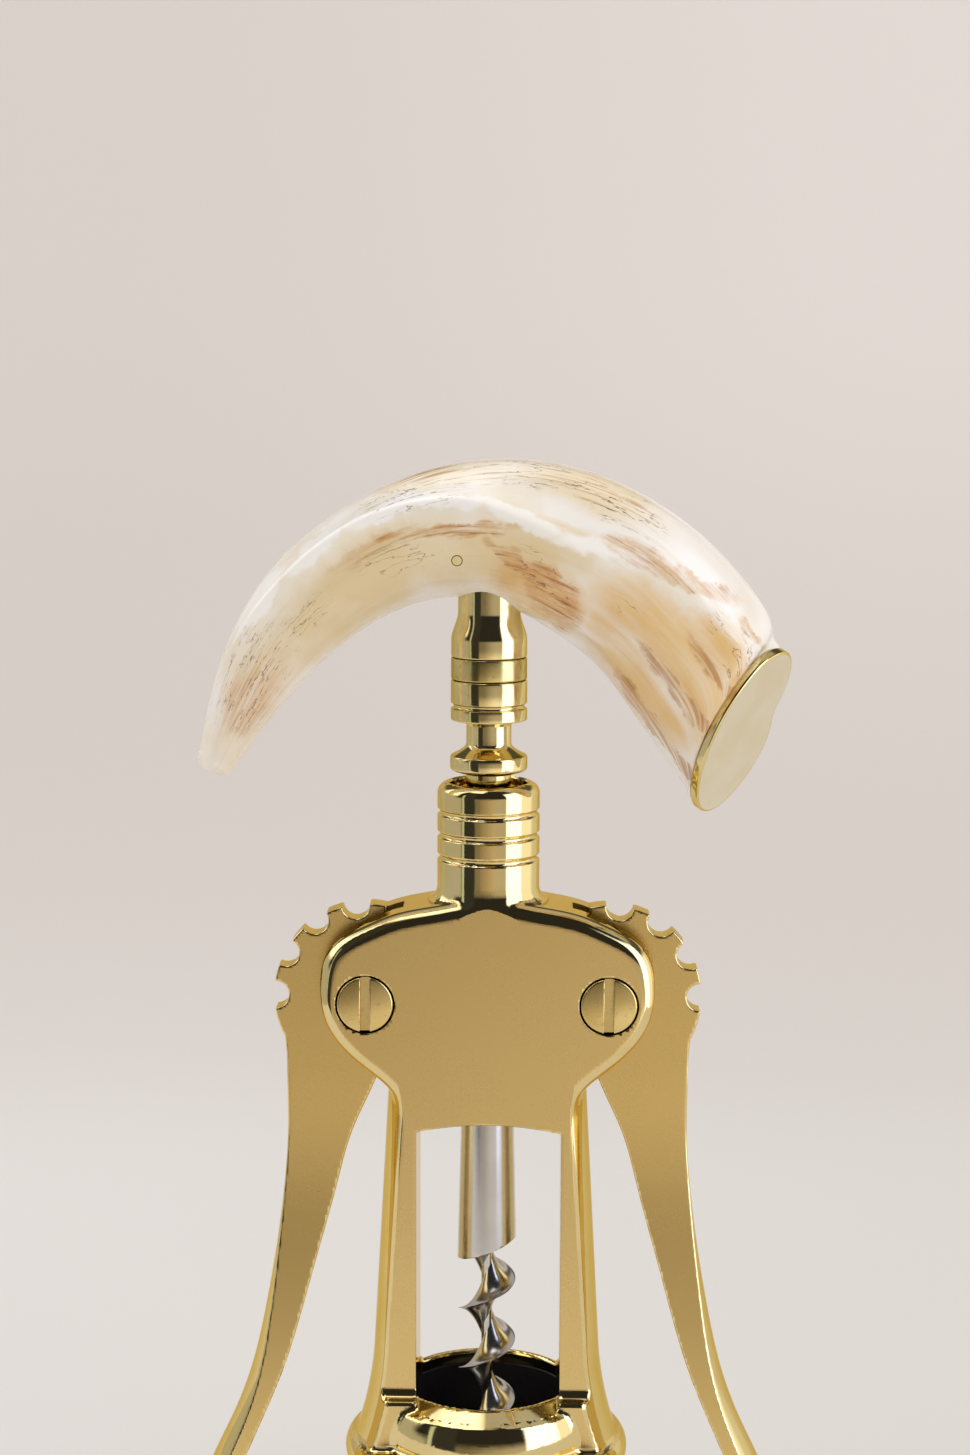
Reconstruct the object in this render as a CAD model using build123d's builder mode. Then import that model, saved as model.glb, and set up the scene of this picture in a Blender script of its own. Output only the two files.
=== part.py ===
from build123d import *
import os
from math import hypot, pi

os.makedirs("parts", exist_ok=True)

# Wing corkscrew in millimetres, at rest with its levers hanging down.
# +Z is up, the levers spread along X, and the front face looks towards -Y.
# The origin is the middle of the bell's foot, on the screw's own axis.

# Rack and lever teeth. The teeth have the rack's pitch round their circle.
teeth_per_turn = 13
rack_pitch = 7.85
rack_tip_r = 7.05
rack_gap = 0.08  # between the rack and its bore
ring_depth = 2.95
ring_land_share = 0.344  # of the pitch
ring_base_share = 0.624  # of the pitch
ring_bevel = 0.25
rings_above = 6
rings_below = 1
addendum = 0.86  # tip of a tooth beyond the pitch circle
mesh_gap = 0.9  # tips of the teeth to the rack's root
gullet_share = 0.3185  # radius of a gullet, of the pitch
gullet_inset = 0.2  # gullet centres inside the teeth's tips
gullets_below = 1
gullets_above = 7
sector_gap = 0.8  # slot beyond the teeth's tips

# Heights of the frame, each measured from the one below it
lip_z = 34.1  # top lip of the bell
window_rise = 50.3  # lip to the springing of the window's arch
arch_rise = 1.5
bridge_height = 5.9  # springing to the lowest point of the lever slots
saddle_share = 0.81  # pivots to the saddle, of the pivots' distance
neck_height = 21.7  # saddle to the rim of the neck

# Bell liner
liner_bore_r = 15.6
liner_wall = 2.6
liner_gap = 0.1
stop_z = 17.0  # where the bottle's rim stops
stop_thickness = 3.0
stop_width = 3.4  # how far the stop stands in from the bore

# Bell
throat_step = 0.3  # lip's bore inside the liner's bore
lip_spread = 2.1
lip_bevel = 1.2
lip_land = 1.2
barrel_wall = 2.7
barrel_round = 0.8
flange_z = 21.8
flange_half = 2.8
flange_lap = 1.6
flange_bulge = 1.0
skirt_step = 0.6
skirt_cove = 2.2
foot_step = 1.6
foot_height = 2.6
foot_round = 0.9

# Frame casting
neck_wall = 2.22
face_proud = 0.65  # milled faces in front of the neck
neck_shoulder = 2.0
bore_chamfer = 0.4
groove_r = 0.6
groove_proud = 0.15  # how far a groove's circle stands out of the neck
groove_drop = 5.4  # rim to the first groove
groove_pitch = 4.15
groove_count = 3
neck_fillet = 2.4
cheek_round = 2.3
window_inset = 1.9  # sides of the window inside the throat
leg_top_wall = 4.6
leg_top_drop = 12.0  # pivots to the top of the leg's blank
leg_inset = 0.05  # legs inside the barrel where their flare starts
leg_low_rise = 8.0  # lip to the place where the legs start to flare
ledge_fillet = 2.0
ledge_land = 0.6

# Levers
lever_half = 2.45  # half the thickness at the teeth
lever_gap = 0.2  # each side of a lever in its slot
lever_reach = 102.0  # pivot to the end, measured down
lever_end_round = 0.6
pivot_gap = 0.05

# Pivot screws and nuts
screw_shank_r = 3.0
screw_head_r = 5.1
screw_head_height = 2.6
screw_dome = 0.4
head_gap = 0.3
slot_width = 1.75
slot_depth = 1.1
thread_r = 2.0
thread_gap = 0.03
nut_height = 2.6
nut_chamfer = 0.4

# Stem, from the rack's head up to the handle
head_rise = 11.3  # rim of the neck to the underside of the rack's head
head_inset = 0.1  # head inside the rack's rings
head_height = 7.4
head_groove_rise = 2.7
head_groove_r = 0.5
head_edge = 0.35
lock_ring_height = 4.1
lock_ring_gap = 0.05
ferrule_inset = 0.05  # ferrule inside the head
ferrule_band = 3.2
ferrule_draw = 1.25  # how far the waist draws in
ogee_height = 4.4
ferrule_height = 21.0
stud_r = 2.5
stud_in_rack = 9.0
stud_cover = 4.0  # metal of the ferrule above the stud

# Worm
hub_r = 4.9
hub_length = 15.2
hub_chamfer = 0.3
hub_wall = 1.87
tang_gap = 0.03
tang_clear = 2.2  # hub above the tang
worm_pin_r = 1.25
worm_pin_rise = 6.5
worm_pin_inset = 0.15
shank_step = 0.05  # shank inside the hub
shank_flare = 0.6  # lower end wider than the upper
shank_length = 26.6
shank_slant = 2.0  # how far the lower end slants each way from its middle
worm_r = 5.35
worm_pitch = 11.65
worm_turns = 5
thread_lead_rise = 2.45  # end of the shank to the thread's own end
core_r = 1.55
core_sink = 0.5
blade_root_half = 3.3
blade_edge_half = 0.16
blade_hollow = 0.95  # how deep the flanks are scooped
worm_length = 43.0  # end of the shank to the point
tip_r = 0.3
tip_length = 11.0

# Tusk handle, its middle section straight above the screw's axis
tusk_span = 50.0
tusk_half = 15.0
tusk_over = 1.7  # top of the ferrule to the middle of the tusk
tusk_tip_round = 1.6
tusk_gap = 0.05
tusk_pin_r = 0.85
tusk_pin_x = -5.6
tusk_pin_drop = 2.9  # top of the ferrule down to the pin
tusk_pin_depth = 4.0  # how far the pin runs past the middle plane
cap_thickness = 1.9
cap_edge = 0.5
cap_reach_share = 0.928  # of the span
cap_drop_share = 0.732  # of the span
cap_turn = -30.7  # degrees, how far the cap looks down
cap_yaw = 34.0  # degrees, how far it looks to the front
peg_r = 1.6
peg_length = 12.0

overrun = 5.0  # how far a cutter runs past what it cuts

# Sizes that follow from those above
gear_tip_r = teeth_per_turn * rack_pitch / (2 * pi) + addendum
tooth_angle = 360.0 / teeth_per_turn
gullet_r = gullet_share * rack_pitch
rack_root_r = rack_tip_r - ring_depth
pivot_x = gear_tip_r + mesh_gap + rack_root_r
neck_bore_r = rack_tip_r + rack_gap
neck_r = neck_bore_r + neck_wall
frame_half = neck_r + face_proud
pocket_r = liner_bore_r + liner_wall + liner_gap
cork_hole_r = liner_bore_r - stop_width
throat_r = liner_bore_r - throat_step
lip_r = throat_r + lip_spread
barrel_r = pocket_r + barrel_wall
skirt_r = barrel_r + skirt_step
foot_r = skirt_r + foot_step
flange_edge_r = skirt_r + skirt_cove + flange_lap
flange_r = flange_edge_r + flange_bulge
window_half = throat_r - window_inset
leg_top_r = window_half + leg_top_wall
leg_low_r = barrel_r - leg_inset
head_r = rack_tip_r - head_inset
ferrule_r = head_r - ferrule_inset
ferrule_waist_r = ferrule_r - ferrule_draw
tang_r = hub_r - hub_wall - tang_gap
tang_height = hub_length - tang_clear
shank_top_r = hub_r - shank_step
shank_low_r = shank_top_r + shank_flare

# Heights above the bell's foot that follow
arch_z = lip_z + window_rise
pivot_z = arch_z + bridge_height + gear_tip_r + sector_gap
saddle_z = pivot_z + saddle_share * pivot_x
neck_top_z = saddle_z + neck_height
throat_z = lip_z - lip_bevel - lip_land
head_z = neck_top_z + head_rise
ring_seat_z = head_z + head_height
ferrule_z = ring_seat_z + lock_ring_height + 2 * lock_ring_gap
ferrule_top_z = ferrule_z + ferrule_height
hub_top_z = pivot_z - (rings_below - 0.5 + ring_base_share / 2) * rack_pitch
hub_z = hub_top_z - hub_length
thread_z = hub_z - shank_length
tusk_z = ferrule_top_z + tusk_over
tusk_pin_z = ferrule_top_z - tusk_pin_drop

# Bell: foot, skirt, flange and barrel, turned in one, hollow to the lip
with BuildPart() as bell:
    with BuildSketch(Plane.XZ):
        with BuildLine():
            foot = Polyline(
                (pocket_r, 0),
                (foot_r, 0),
                (foot_r, foot_height),
                (skirt_r, foot_height + foot_r - skirt_r),
                (skirt_r, flange_z - flange_half - skirt_cove),
            )
            cove = RadiusArc(foot @ 1, (skirt_r + skirt_cove, flange_z - flange_half), skirt_cove)
            under = Line(cove @ 1, (flange_edge_r, flange_z - flange_half))
            rim = ThreePointArc(under @ 1, (flange_r, flange_z), (flange_edge_r, flange_z + flange_half))
            Polyline(
                rim @ 1,
                (barrel_r, flange_z + flange_half),
                (barrel_r, lip_z),
                (lip_r, lip_z),
                (throat_r, lip_z - lip_bevel),
                (throat_r, throat_z),
                (pocket_r, throat_z),
                (pocket_r, 0),
            )
        make_face()
    revolve(axis=Axis.Z)
    turned = bell.edges().filter_by(GeomType.CIRCLE)
    fillet(turned.filter_by(lambda e: abs(e.radius - foot_r) < 1e-4), foot_round)
    fillet(bell.edges().filter_by(GeomType.CIRCLE).group_by(Axis.Z)[-1].sort_by(SortBy.RADIUS)[-1:], barrel_round)

# Legs: one turned blank with flared feet, milled flat in front and behind
with BuildPart() as legs:
    with BuildSketch(Plane.XZ):
        with BuildLine():
            top = (leg_top_r, pivot_z - leg_top_drop)
            side = Line(top, (leg_low_r, lip_z + leg_low_rise))
            flare = TangentArc(side @ 1, (flange_edge_r, flange_z), tangent=side % 1)
            Polyline(flare @ 1, (0, flange_z), (0, pivot_z - leg_top_drop), top)
        make_face()
    revolve(axis=Axis.Z)
    with BuildSketch(Plane.YZ):
        with BuildLine():
            shelf = frame_half + ledge_fillet
            front = Polyline((0, flange_z), (shelf + ledge_land, flange_z), (shelf + ledge_land, lip_z), (shelf, lip_z))
            hollow = RadiusArc(front @ 1, (frame_half, lip_z + ledge_fillet), ledge_fillet)
            Polyline(hollow @ 1, (frame_half, pivot_z), (0, pivot_z), (0, flange_z))
        make_face()
        mirror(about=Plane.YZ)
    extrude(amount=flange_r + overrun, both=True, mode=Mode.INTERSECT)

# Outline of the cheek from the saddle down to the leg, in shares of the
# pivot's distance from the axis and measured from the pivots' height
cheek_shares = (
    (0.79, 0.755),
    (1.02, 0.665),
    (1.17, 0.579),
    (1.29, 0.457),
    (1.357, 0.303),
    (1.375, 0.127),
    (1.353, -0.09),
    (1.294, -0.244),
    (1.204, -0.371),
    (1.068, -0.507),
    (0.932, -0.615),
    (0.824, -0.71),
    (0.751, -0.81),
    (0.706, -0.941),
    (0.697, -1.086),
)

# Cheeks: the block that holds the pivots, with the neck standing on it
with BuildPart() as cheeks:
    with BuildSketch(Plane.XZ):
        with BuildLine():
            lobe = Spline(*[(x * pivot_x, pivot_z + z * pivot_x) for x, z in cheek_shares])
            end = lobe @ 0
            ThreePointArc((0, saddle_z), (end.X / 2, (3 * saddle_z + end.Y) / 4), end)
            Polyline(lobe @ 1, (0, (lobe @ 1).Y), (0, saddle_z))
        make_face()
        mirror(about=Plane.YZ)
    extrude(amount=frame_half, both=True)
    cheek_low_z = cheeks.part.bounding_box().min.Z
    fillet(
        cheeks.edges().filter_by(
            lambda e: abs(abs(e.center().Y) - frame_half) < 1e-4 and e.center().Z > cheek_low_z + 1e-3
        ),
        cheek_round,
    )
    with BuildSketch(Plane.XY.offset(pivot_z)):
        Circle(neck_r)
    extrude(amount=neck_top_z - pivot_z)
    fillet(
        cheeks.edges().filter_by(
            lambda e: e.center().Z > pivot_z
            and e.center().Z < neck_top_z - neck_shoulder
            and all(abs(hypot(v.X, v.Y) - neck_r) < 1e-3 for v in e.vertices())
            and len(e.vertices()) > 0
            and e.bounding_box().size.Z < neck_r
        ),
        neck_fillet,
    )
    fillet(cheeks.edges().group_by(Axis.Z)[-1], neck_shoulder)

# Frame: bell, legs, cheeks and neck are one casting, bored, slotted and pierced
with BuildPart() as frame:
    add(cheeks.part)
    add(legs.part)
    # Window between the legs, under a shallow arch
    with BuildSketch(Plane.XZ):
        with BuildLine():
            arch = ThreePointArc((-window_half, arch_z), (0, arch_z + arch_rise), (window_half, arch_z))
            Polyline(arch @ 1, (window_half, 0), (-window_half, 0), arch @ 0)
        make_face()
    extrude(amount=flange_r, both=True, mode=Mode.SUBTRACT)
    with BuildSketch(Plane.XY):
        Circle(pocket_r)
    extrude(amount=throat_z, mode=Mode.SUBTRACT)
    add(bell.part)
    # Three grooves round the neck
    with BuildSketch(Plane.XZ):
        for k in range(groove_count):
            with Locations((neck_r + groove_proud, neck_top_z - groove_drop - k * groove_pitch)):
                Circle(groove_r)
    revolve(axis=Axis.Z, mode=Mode.SUBTRACT)
    # Bore for the rack, from the rim down to the window
    with BuildSketch(Plane.XY.offset(arch_z)):
        Circle(neck_bore_r)
    extrude(amount=neck_top_z - arch_z + overrun, mode=Mode.SUBTRACT)
    chamfer(frame.edges().group_by(Axis.Z)[-1].sort_by(SortBy.RADIUS)[:1], bore_chamfer)
    for way in (-1, 1):
        # Slot for the lever's toothed sector, open to the outside
        with BuildSketch(Plane.XZ):
            with Locations((way * pivot_x, pivot_z)):
                Circle(gear_tip_r + sector_gap)
        extrude(amount=lever_half + lever_gap, both=True, mode=Mode.SUBTRACT)
        # Hole for the pivot, counterbored in front and behind
        with BuildSketch(Plane.XZ):
            with Locations((way * pivot_x, pivot_z)):
                Circle(screw_shank_r + pivot_gap)
        extrude(amount=frame_half, both=True, mode=Mode.SUBTRACT)
        with BuildSketch(Plane.XZ.offset(frame_half), Plane.XZ.offset(nut_height - frame_half)):
            with Locations((way * pivot_x, pivot_z)):
                Circle(screw_head_r + head_gap)
        extrude(amount=-screw_head_height, mode=Mode.SUBTRACT)
frame.part.label = "frame"

# Liner: black sleeve under the bell's lip, with a stop for the bottle's rim
with BuildPart() as bell_liner:
    with BuildSketch(Plane.XZ):
        with BuildLine():
            Polyline(
                (liner_bore_r, 0),
                (pocket_r - liner_gap, 0),
                (pocket_r - liner_gap, throat_z),
                (throat_r, throat_z),
                (throat_r, stop_z + stop_thickness + throat_r - cork_hole_r),
                (cork_hole_r, stop_z + stop_thickness),
                (cork_hole_r, stop_z),
                (liner_bore_r, stop_z),
                (liner_bore_r, 0),
            )
        make_face()
    revolve(axis=Axis.Z)
bell_liner.part.label = "bell_liner"

# Sections of a lever's arm, each as drop, outer edge, inner edge, half its
# width and the crown of its outer side, in shares of the lever's reach.
# The edges are measured outwards from the pivot.
arm_shares = (
    (0.098, 0.147, -0.030, 0.024, 0.0004),
    (0.157, 0.1455, -0.014, 0.024, 0.0006),
    (0.247, 0.145, 0.026, 0.024, 0.001),
    (0.345, 0.152, 0.054, 0.0265, 0.002),
    (0.477, 0.169, 0.090, 0.036, 0.006),
    (0.590, 0.189, 0.121, 0.046, 0.012),
    (0.698, 0.214, 0.155, 0.056, 0.018),
    (0.796, 0.250, 0.196, 0.065, 0.023),
    (0.875, 0.287, 0.231, 0.071, 0.027),
    (1.000, 0.333, 0.289, 0.074, 0.028),
)
shoulder_shares = ((0.98, -0.275), (0.93, -0.585), (0.0, -0.94))

# Left lever: toothed sector round the pivot and a long crowned arm
with BuildPart() as left_lever:
    for drop, outer, inner, half, crown in arm_shares:
        with BuildSketch(Plane.XY.offset(pivot_z - drop * lever_reach)):
            with BuildLine():
                back_x = -pivot_x - inner * lever_reach
                face_x = -pivot_x - (outer - crown) * lever_reach
                crown_x = -pivot_x - outer * lever_reach
                wide = half * lever_reach
                ThreePointArc((face_x, -wide), (crown_x, 0), (face_x, wide))
                Polyline((face_x, wide), (back_x, wide), (back_x, -wide), (face_x, -wide))
            make_face()
    loft()
    fillet(left_lever.edges().group_by(Axis.Z)[0], lever_end_round)
    with BuildSketch(Plane.XZ):
        with Locations((-pivot_x, pivot_z)):
            Circle(gear_tip_r)
            with BuildLine():
                Polyline(
                    *[(-pivot_x - x * gear_tip_r, pivot_z + z * gear_tip_r) for x, z in shoulder_shares],
                    close=True,
                )
            make_face()
        for k in range(-gullets_below, gullets_above):
            with Locations((-pivot_x, pivot_z)):
                with PolarLocations(gear_tip_r - gullet_inset, 1, start_angle=(k + 0.5) * tooth_angle):
                    Circle(gullet_r, mode=Mode.SUBTRACT)
    extrude(amount=lever_half, both=True)
    with BuildSketch(Plane.XZ):
        with Locations((-pivot_x, pivot_z)):
            Circle(screw_shank_r + pivot_gap)
    extrude(amount=lever_half, both=True, mode=Mode.SUBTRACT)
left_lever.part.label = "left_lever"

with BuildPart() as right_lever:
    mirror(left_lever.part, about=Plane.YZ)
right_lever.part.label = "right_lever"

# Pivot screw: slotted domed head in front, threaded end behind
with BuildPart() as left_pivot_screw:
    with BuildSketch(Plane.XY.offset(pivot_z)):
        with BuildLine():
            under_head = screw_head_height - frame_half
            behind = frame_half - nut_height
            dome = ThreePointArc(
                (-pivot_x, -frame_half - screw_dome),
                (-pivot_x + screw_head_r / 2, -frame_half - 3 * screw_dome / 4),
                (-pivot_x + screw_head_r, -frame_half),
            )
            Polyline(
                dome @ 1,
                (-pivot_x + screw_head_r, under_head),
                (-pivot_x + screw_shank_r, under_head),
                (-pivot_x + screw_shank_r, behind),
                (-pivot_x + thread_r, behind),
                (-pivot_x + thread_r, frame_half),
                (-pivot_x, frame_half),
                dome @ 0,
            )
        make_face()
    revolve(axis=Axis((-pivot_x, 0, pivot_z), (0, 1, 0)))
    with BuildSketch(Plane.XZ.offset(frame_half - slot_depth)):
        with Locations((-pivot_x, pivot_z)):
            Rectangle(slot_width, 2 * screw_head_r + overrun)
    extrude(amount=overrun, mode=Mode.SUBTRACT)
left_pivot_screw.part.label = "left_pivot_screw"

with BuildPart() as right_pivot_screw:
    mirror(left_pivot_screw.part, about=Plane.YZ)
right_pivot_screw.part.label = "right_pivot_screw"

# Pivot nut: a round nut let into the back of the cheek
with BuildPart() as left_pivot_nut:
    with BuildSketch(Plane.XZ.offset(-frame_half)):
        with Locations((-pivot_x, pivot_z)):
            Circle(screw_head_r)
            Circle(thread_r + thread_gap, mode=Mode.SUBTRACT)
    extrude(amount=nut_height)
    chamfer(left_pivot_nut.edges().group_by(Axis.Y)[-1].sort_by(SortBy.RADIUS)[-1:], nut_chamfer)
left_pivot_nut.part.label = "left_pivot_nut"

with BuildPart() as right_pivot_nut:
    mirror(left_pivot_nut.part, about=Plane.YZ)
right_pivot_nut.part.label = "right_pivot_nut"


def ring_outline(middle):
    # Half section of one rack ring: two slanting flanks and a bevelled land
    base = ring_base_share * rack_pitch / 2
    land = ring_land_share * rack_pitch / 2
    return [
        (rack_root_r, middle - base),
        (rack_tip_r - ring_bevel, middle - land),
        (rack_tip_r, middle - land + ring_bevel),
        (rack_tip_r, middle + land - ring_bevel),
        (rack_tip_r - ring_bevel, middle + land),
        (rack_root_r, middle + base),
    ]


# Rack: rings that mesh with the levers, a hub for the worm and a grooved head
with BuildPart() as rack:
    rings = []
    for k in range(-rings_below, rings_above):
        rings += ring_outline(pivot_z + (k + 0.5) * rack_pitch)
    with BuildSketch(Plane.XZ):
        with BuildLine():
            Polyline(
                (0, hub_z),
                (hub_r, hub_z),
                (hub_r, hub_top_z),
                *rings,
                (rack_root_r, head_z),
                (head_r, head_z),
                (head_r, ring_seat_z),
                (0, ring_seat_z),
                (0, hub_z),
            )
        make_face()
    revolve(axis=Axis.Z)
    turned = rack.edges().filter_by(GeomType.CIRCLE)
    chamfer(turned.filter_by(lambda e: abs(e.radius - head_r) < 1e-4), head_edge)
    chamfer(turned.group_by(Axis.Z)[0], hub_chamfer)
    with BuildSketch(Plane.XZ):
        with Locations((head_r, head_z + head_groove_rise)):
            Circle(head_groove_r)
    revolve(axis=Axis.Z, mode=Mode.SUBTRACT)
    with BuildSketch(Plane.XY.offset(ring_seat_z)):
        Circle(stud_r)
    extrude(amount=-stud_in_rack, mode=Mode.SUBTRACT)
    with BuildSketch(Plane.XY.offset(hub_z)):
        Circle(tang_r + tang_gap)
    extrude(amount=tang_height + tang_gap, mode=Mode.SUBTRACT)
    with BuildSketch(Plane.XZ):
        with Locations((0, hub_z + worm_pin_rise)):
            Circle(worm_pin_r)
    extrude(amount=hub_r + overrun, both=True, mode=Mode.SUBTRACT)
rack.part.label = "rack"

# Worm: an auger with scooped flanks round a slim core, a shank and a tang
with BuildPart() as worm:
    start_z = thread_z + thread_lead_rise - worm_turns * worm_pitch + worm_pitch / 4
    with BuildLine():
        coil = Helix(worm_pitch, worm_turns * worm_pitch, core_r, center=(0, 0, start_z))
    with BuildSketch(Plane.XZ):
        with BuildLine():
            upper = SagittaArc(
                (core_r, start_z + blade_root_half), (worm_r, start_z + blade_edge_half), -blade_hollow
            )
            lower = SagittaArc(
                (worm_r, start_z - blade_edge_half), (core_r, start_z - blade_root_half), -blade_hollow
            )
            Line(upper @ 1, lower @ 0)
            Polyline(
                lower @ 1,
                (core_r - core_sink, start_z - blade_root_half),
                (core_r - core_sink, start_z + blade_root_half),
                upper @ 0,
            )
        make_face()
    sweep(path=coil, normal=(0, 0, 1))
    with BuildSketch(Plane.XY.offset(start_z)):
        Circle(core_r)
    extrude(amount=thread_z - start_z + overrun)
    # The envelope that grinds the thread to a point
    with BuildSketch(Plane.XZ):
        with BuildLine():
            point_z = thread_z - worm_length
            Polyline(
                (0, point_z),
                (tip_r, point_z),
                (worm_r + tip_r, point_z + tip_length),
                (worm_r + tip_r, thread_z + shank_slant),
                (0, thread_z + shank_slant),
                (0, point_z),
            )
        make_face()
    revolve(axis=Axis.Z, mode=Mode.INTERSECT)
worm.part.label = "worm"

# Shank of the worm, its lower end cut on a slant where the thread runs out
with BuildPart() as shank:
    with BuildSketch(Plane.XZ):
        with BuildLine():
            Polyline(
                (0, thread_z - shank_slant),
                (shank_low_r, thread_z - shank_slant),
                (shank_top_r, hub_z),
                (tang_r, hub_z),
                (tang_r, hub_z + tang_height),
                (0, hub_z + tang_height),
                (0, thread_z - shank_slant),
            )
        make_face()
    revolve(axis=Axis.Z)
    with BuildSketch(Plane.XZ):
        with BuildLine():
            Polyline(
                (-shank_low_r - tip_r, thread_z - shank_slant),
                (shank_low_r + tip_r, thread_z + shank_slant),
                (shank_low_r + tip_r, thread_z - shank_slant - overrun),
                (-shank_low_r - tip_r, thread_z - shank_slant - overrun),
                (-shank_low_r - tip_r, thread_z - shank_slant),
            )
        make_face()
    extrude(amount=shank_low_r + tip_r, both=True, mode=Mode.SUBTRACT)
    with BuildSketch(Plane.XZ):
        with Locations((0, hub_z + worm_pin_rise)):
            Circle(worm_pin_r)
    extrude(amount=tang_r + overrun, both=True, mode=Mode.SUBTRACT)

with worm:
    add(shank.part)
worm.part.label = "worm"

# Pin across the rack's hub and the worm's tang
with BuildPart() as worm_pin:
    with BuildSketch(Plane.XZ):
        with Locations((0, hub_z + worm_pin_rise)):
            Circle(worm_pin_r)
    extrude(amount=hub_r - worm_pin_inset, both=True)
worm_pin.part.label = "worm_pin"

# Lock ring between the rack's head and the ferrule
with BuildPart() as lock_ring:
    with BuildSketch(Plane.XY.offset(ring_seat_z + lock_ring_gap)):
        Circle(ferrule_r)
        Circle(stud_r + lock_ring_gap, mode=Mode.SUBTRACT)
    extrude(amount=lock_ring_height)
lock_ring.part.label = "lock_ring"

# Ferrule: a band that draws in to a waist and goes up inside the tusk
with BuildPart() as handle_ferrule:
    with BuildSketch(Plane.XZ):
        with BuildLine():
            band = Polyline((0, ferrule_z), (ferrule_r, ferrule_z), (ferrule_r, ferrule_z + ferrule_band))
            ogee = Spline(
                band @ 1,
                (ferrule_waist_r, ferrule_z + ferrule_band + ogee_height),
                tangents=((-1, 1), (0, 1)),
            )
            Polyline(ogee @ 1, (ferrule_waist_r, ferrule_top_z), (0, ferrule_top_z), (0, ferrule_z))
        make_face()
    revolve(axis=Axis.Z)
    with BuildSketch(Plane.XY.offset(ferrule_z)):
        Circle(stud_r)
    extrude(amount=ferrule_height - stud_cover, mode=Mode.SUBTRACT)
    with BuildSketch(Plane.XZ):
        with Locations((tusk_pin_x, tusk_pin_z)):
            Circle(tusk_pin_r)
    extrude(amount=tusk_half, both=True, mode=Mode.SUBTRACT)
handle_ferrule.part.label = "handle_ferrule"

# Stud that joins the rack's head and the ferrule through the lock ring
with BuildPart() as handle_stud:
    with BuildSketch(Plane.XY.offset(ring_seat_z - stud_in_rack)):
        Circle(stud_r)
    extrude(amount=ferrule_top_z - stud_cover - ring_seat_z + stud_in_rack)
handle_stud.part.label = "handle_stud"

# Sections along the tusk from its tip: reach and rise of the middle in shares
# of the span, half height and half depth in shares of the thickest half, and
# the way the tusk points, in degrees
tusk_shares = (
    (-0.996, -0.840, 0.240, 0.235, 52),
    (-0.833, -0.504, 0.498, 0.465, 57),
    (-0.684, -0.302, 0.613, 0.570, 43),
    (-0.465, -0.124, 0.685, 0.640, 27.6),
    (-0.208, -0.016, 0.767, 0.690, 12),
    (0.040, 0.0, 0.860, 0.730, -2),
    (0.274, -0.060, 0.960, 0.760, -17),
    (0.582, -0.250, 1.007, 0.795, -45),
    (0.692, -0.368, 1.013, 0.805, -55),
    (0.820, -0.542, 1.050, 0.815, -45),
)
cap_tall_share = 1.127
cap_deep_share = 0.820

cap_look = Vector(1, 0, 0).rotate(Axis.Z, -cap_yaw).rotate(Axis.Y, -cap_turn)
cap_level = Vector(0, 1, 0).rotate(Axis.Z, -cap_yaw)
cap_face = Plane(
    origin=(cap_reach_share * tusk_span, 0, tusk_z - cap_drop_share * tusk_span),
    x_dir=cap_level,
    z_dir=cap_look,
)

# Solid form of the handle, from its tip to the slanting face under the cap
with BuildPart() as tusk_blank:
    for reach, rise, tall, deep, way in tusk_shares:
        section = Plane(
            origin=(reach * tusk_span, 0, tusk_z + rise * tusk_span),
            x_dir=(0, 1, 0),
            z_dir=Vector(1, 0, 0).rotate(Axis.Y, -way),
        )
        with BuildSketch(section):
            Ellipse(deep * tusk_half, tall * tusk_half)
    with BuildSketch(cap_face.offset(-cap_thickness)):
        Ellipse(cap_deep_share * tusk_half, cap_tall_share * tusk_half)
    loft()
    fillet(tusk_blank.edges().sort_by(Axis.X)[:1], tusk_tip_round)

# Tusk: the blank with a socket for the ferrule and holes for pin and peg
with BuildPart() as tusk:
    add(tusk_blank.part)
    with BuildSketch(Plane.XY.offset(ferrule_z)):
        Circle(ferrule_waist_r + tusk_gap)
    extrude(amount=ferrule_height + tusk_gap, mode=Mode.SUBTRACT)
    with BuildSketch(Plane.XZ.offset(-tusk_pin_depth)):
        with Locations((tusk_pin_x, tusk_pin_z)):
            Circle(tusk_pin_r)
    extrude(amount=tusk_half + tusk_pin_depth, mode=Mode.SUBTRACT)
    with BuildSketch(cap_face.offset(-cap_thickness)):
        Circle(peg_r)
    extrude(amount=cap_thickness - peg_length, mode=Mode.SUBTRACT)
tusk.part.label = "tusk"

# Pin in the front of the handle that catches the ferrule's side
with BuildPart() as tusk_pin:
    add(tusk_blank.part)
    with BuildSketch(Plane.XZ.offset(-tusk_pin_depth)):
        with Locations((tusk_pin_x, tusk_pin_z)):
            Circle(tusk_pin_r)
    extrude(amount=tusk_half + tusk_pin_depth, mode=Mode.INTERSECT)
tusk_pin.part.label = "tusk_pin"

# Cap on the broad end, with its peg
with BuildPart() as tusk_cap:
    with BuildSketch(cap_face):
        Ellipse(cap_deep_share * tusk_half, cap_tall_share * tusk_half)
    extrude(amount=-cap_thickness)
    lid = tusk_cap.faces().filter_by(GeomType.PLANE).sort_by(lambda f: cap_face.to_local_coords(f.center()).Z)[-1]
    fillet(lid.edges(), cap_edge)
    with BuildSketch(cap_face.offset(-cap_thickness)):
        Circle(peg_r)
    extrude(amount=cap_thickness / 2, mode=Mode.SUBTRACT)
tusk_cap.part.label = "tusk_cap"

with BuildPart() as tusk_cap_peg:
    with BuildSketch(cap_face.offset(-cap_thickness / 2)):
        Circle(peg_r)
    extrude(amount=cap_thickness / 2 - peg_length)
tusk_cap_peg.part.label = "tusk_cap_peg"

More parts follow.
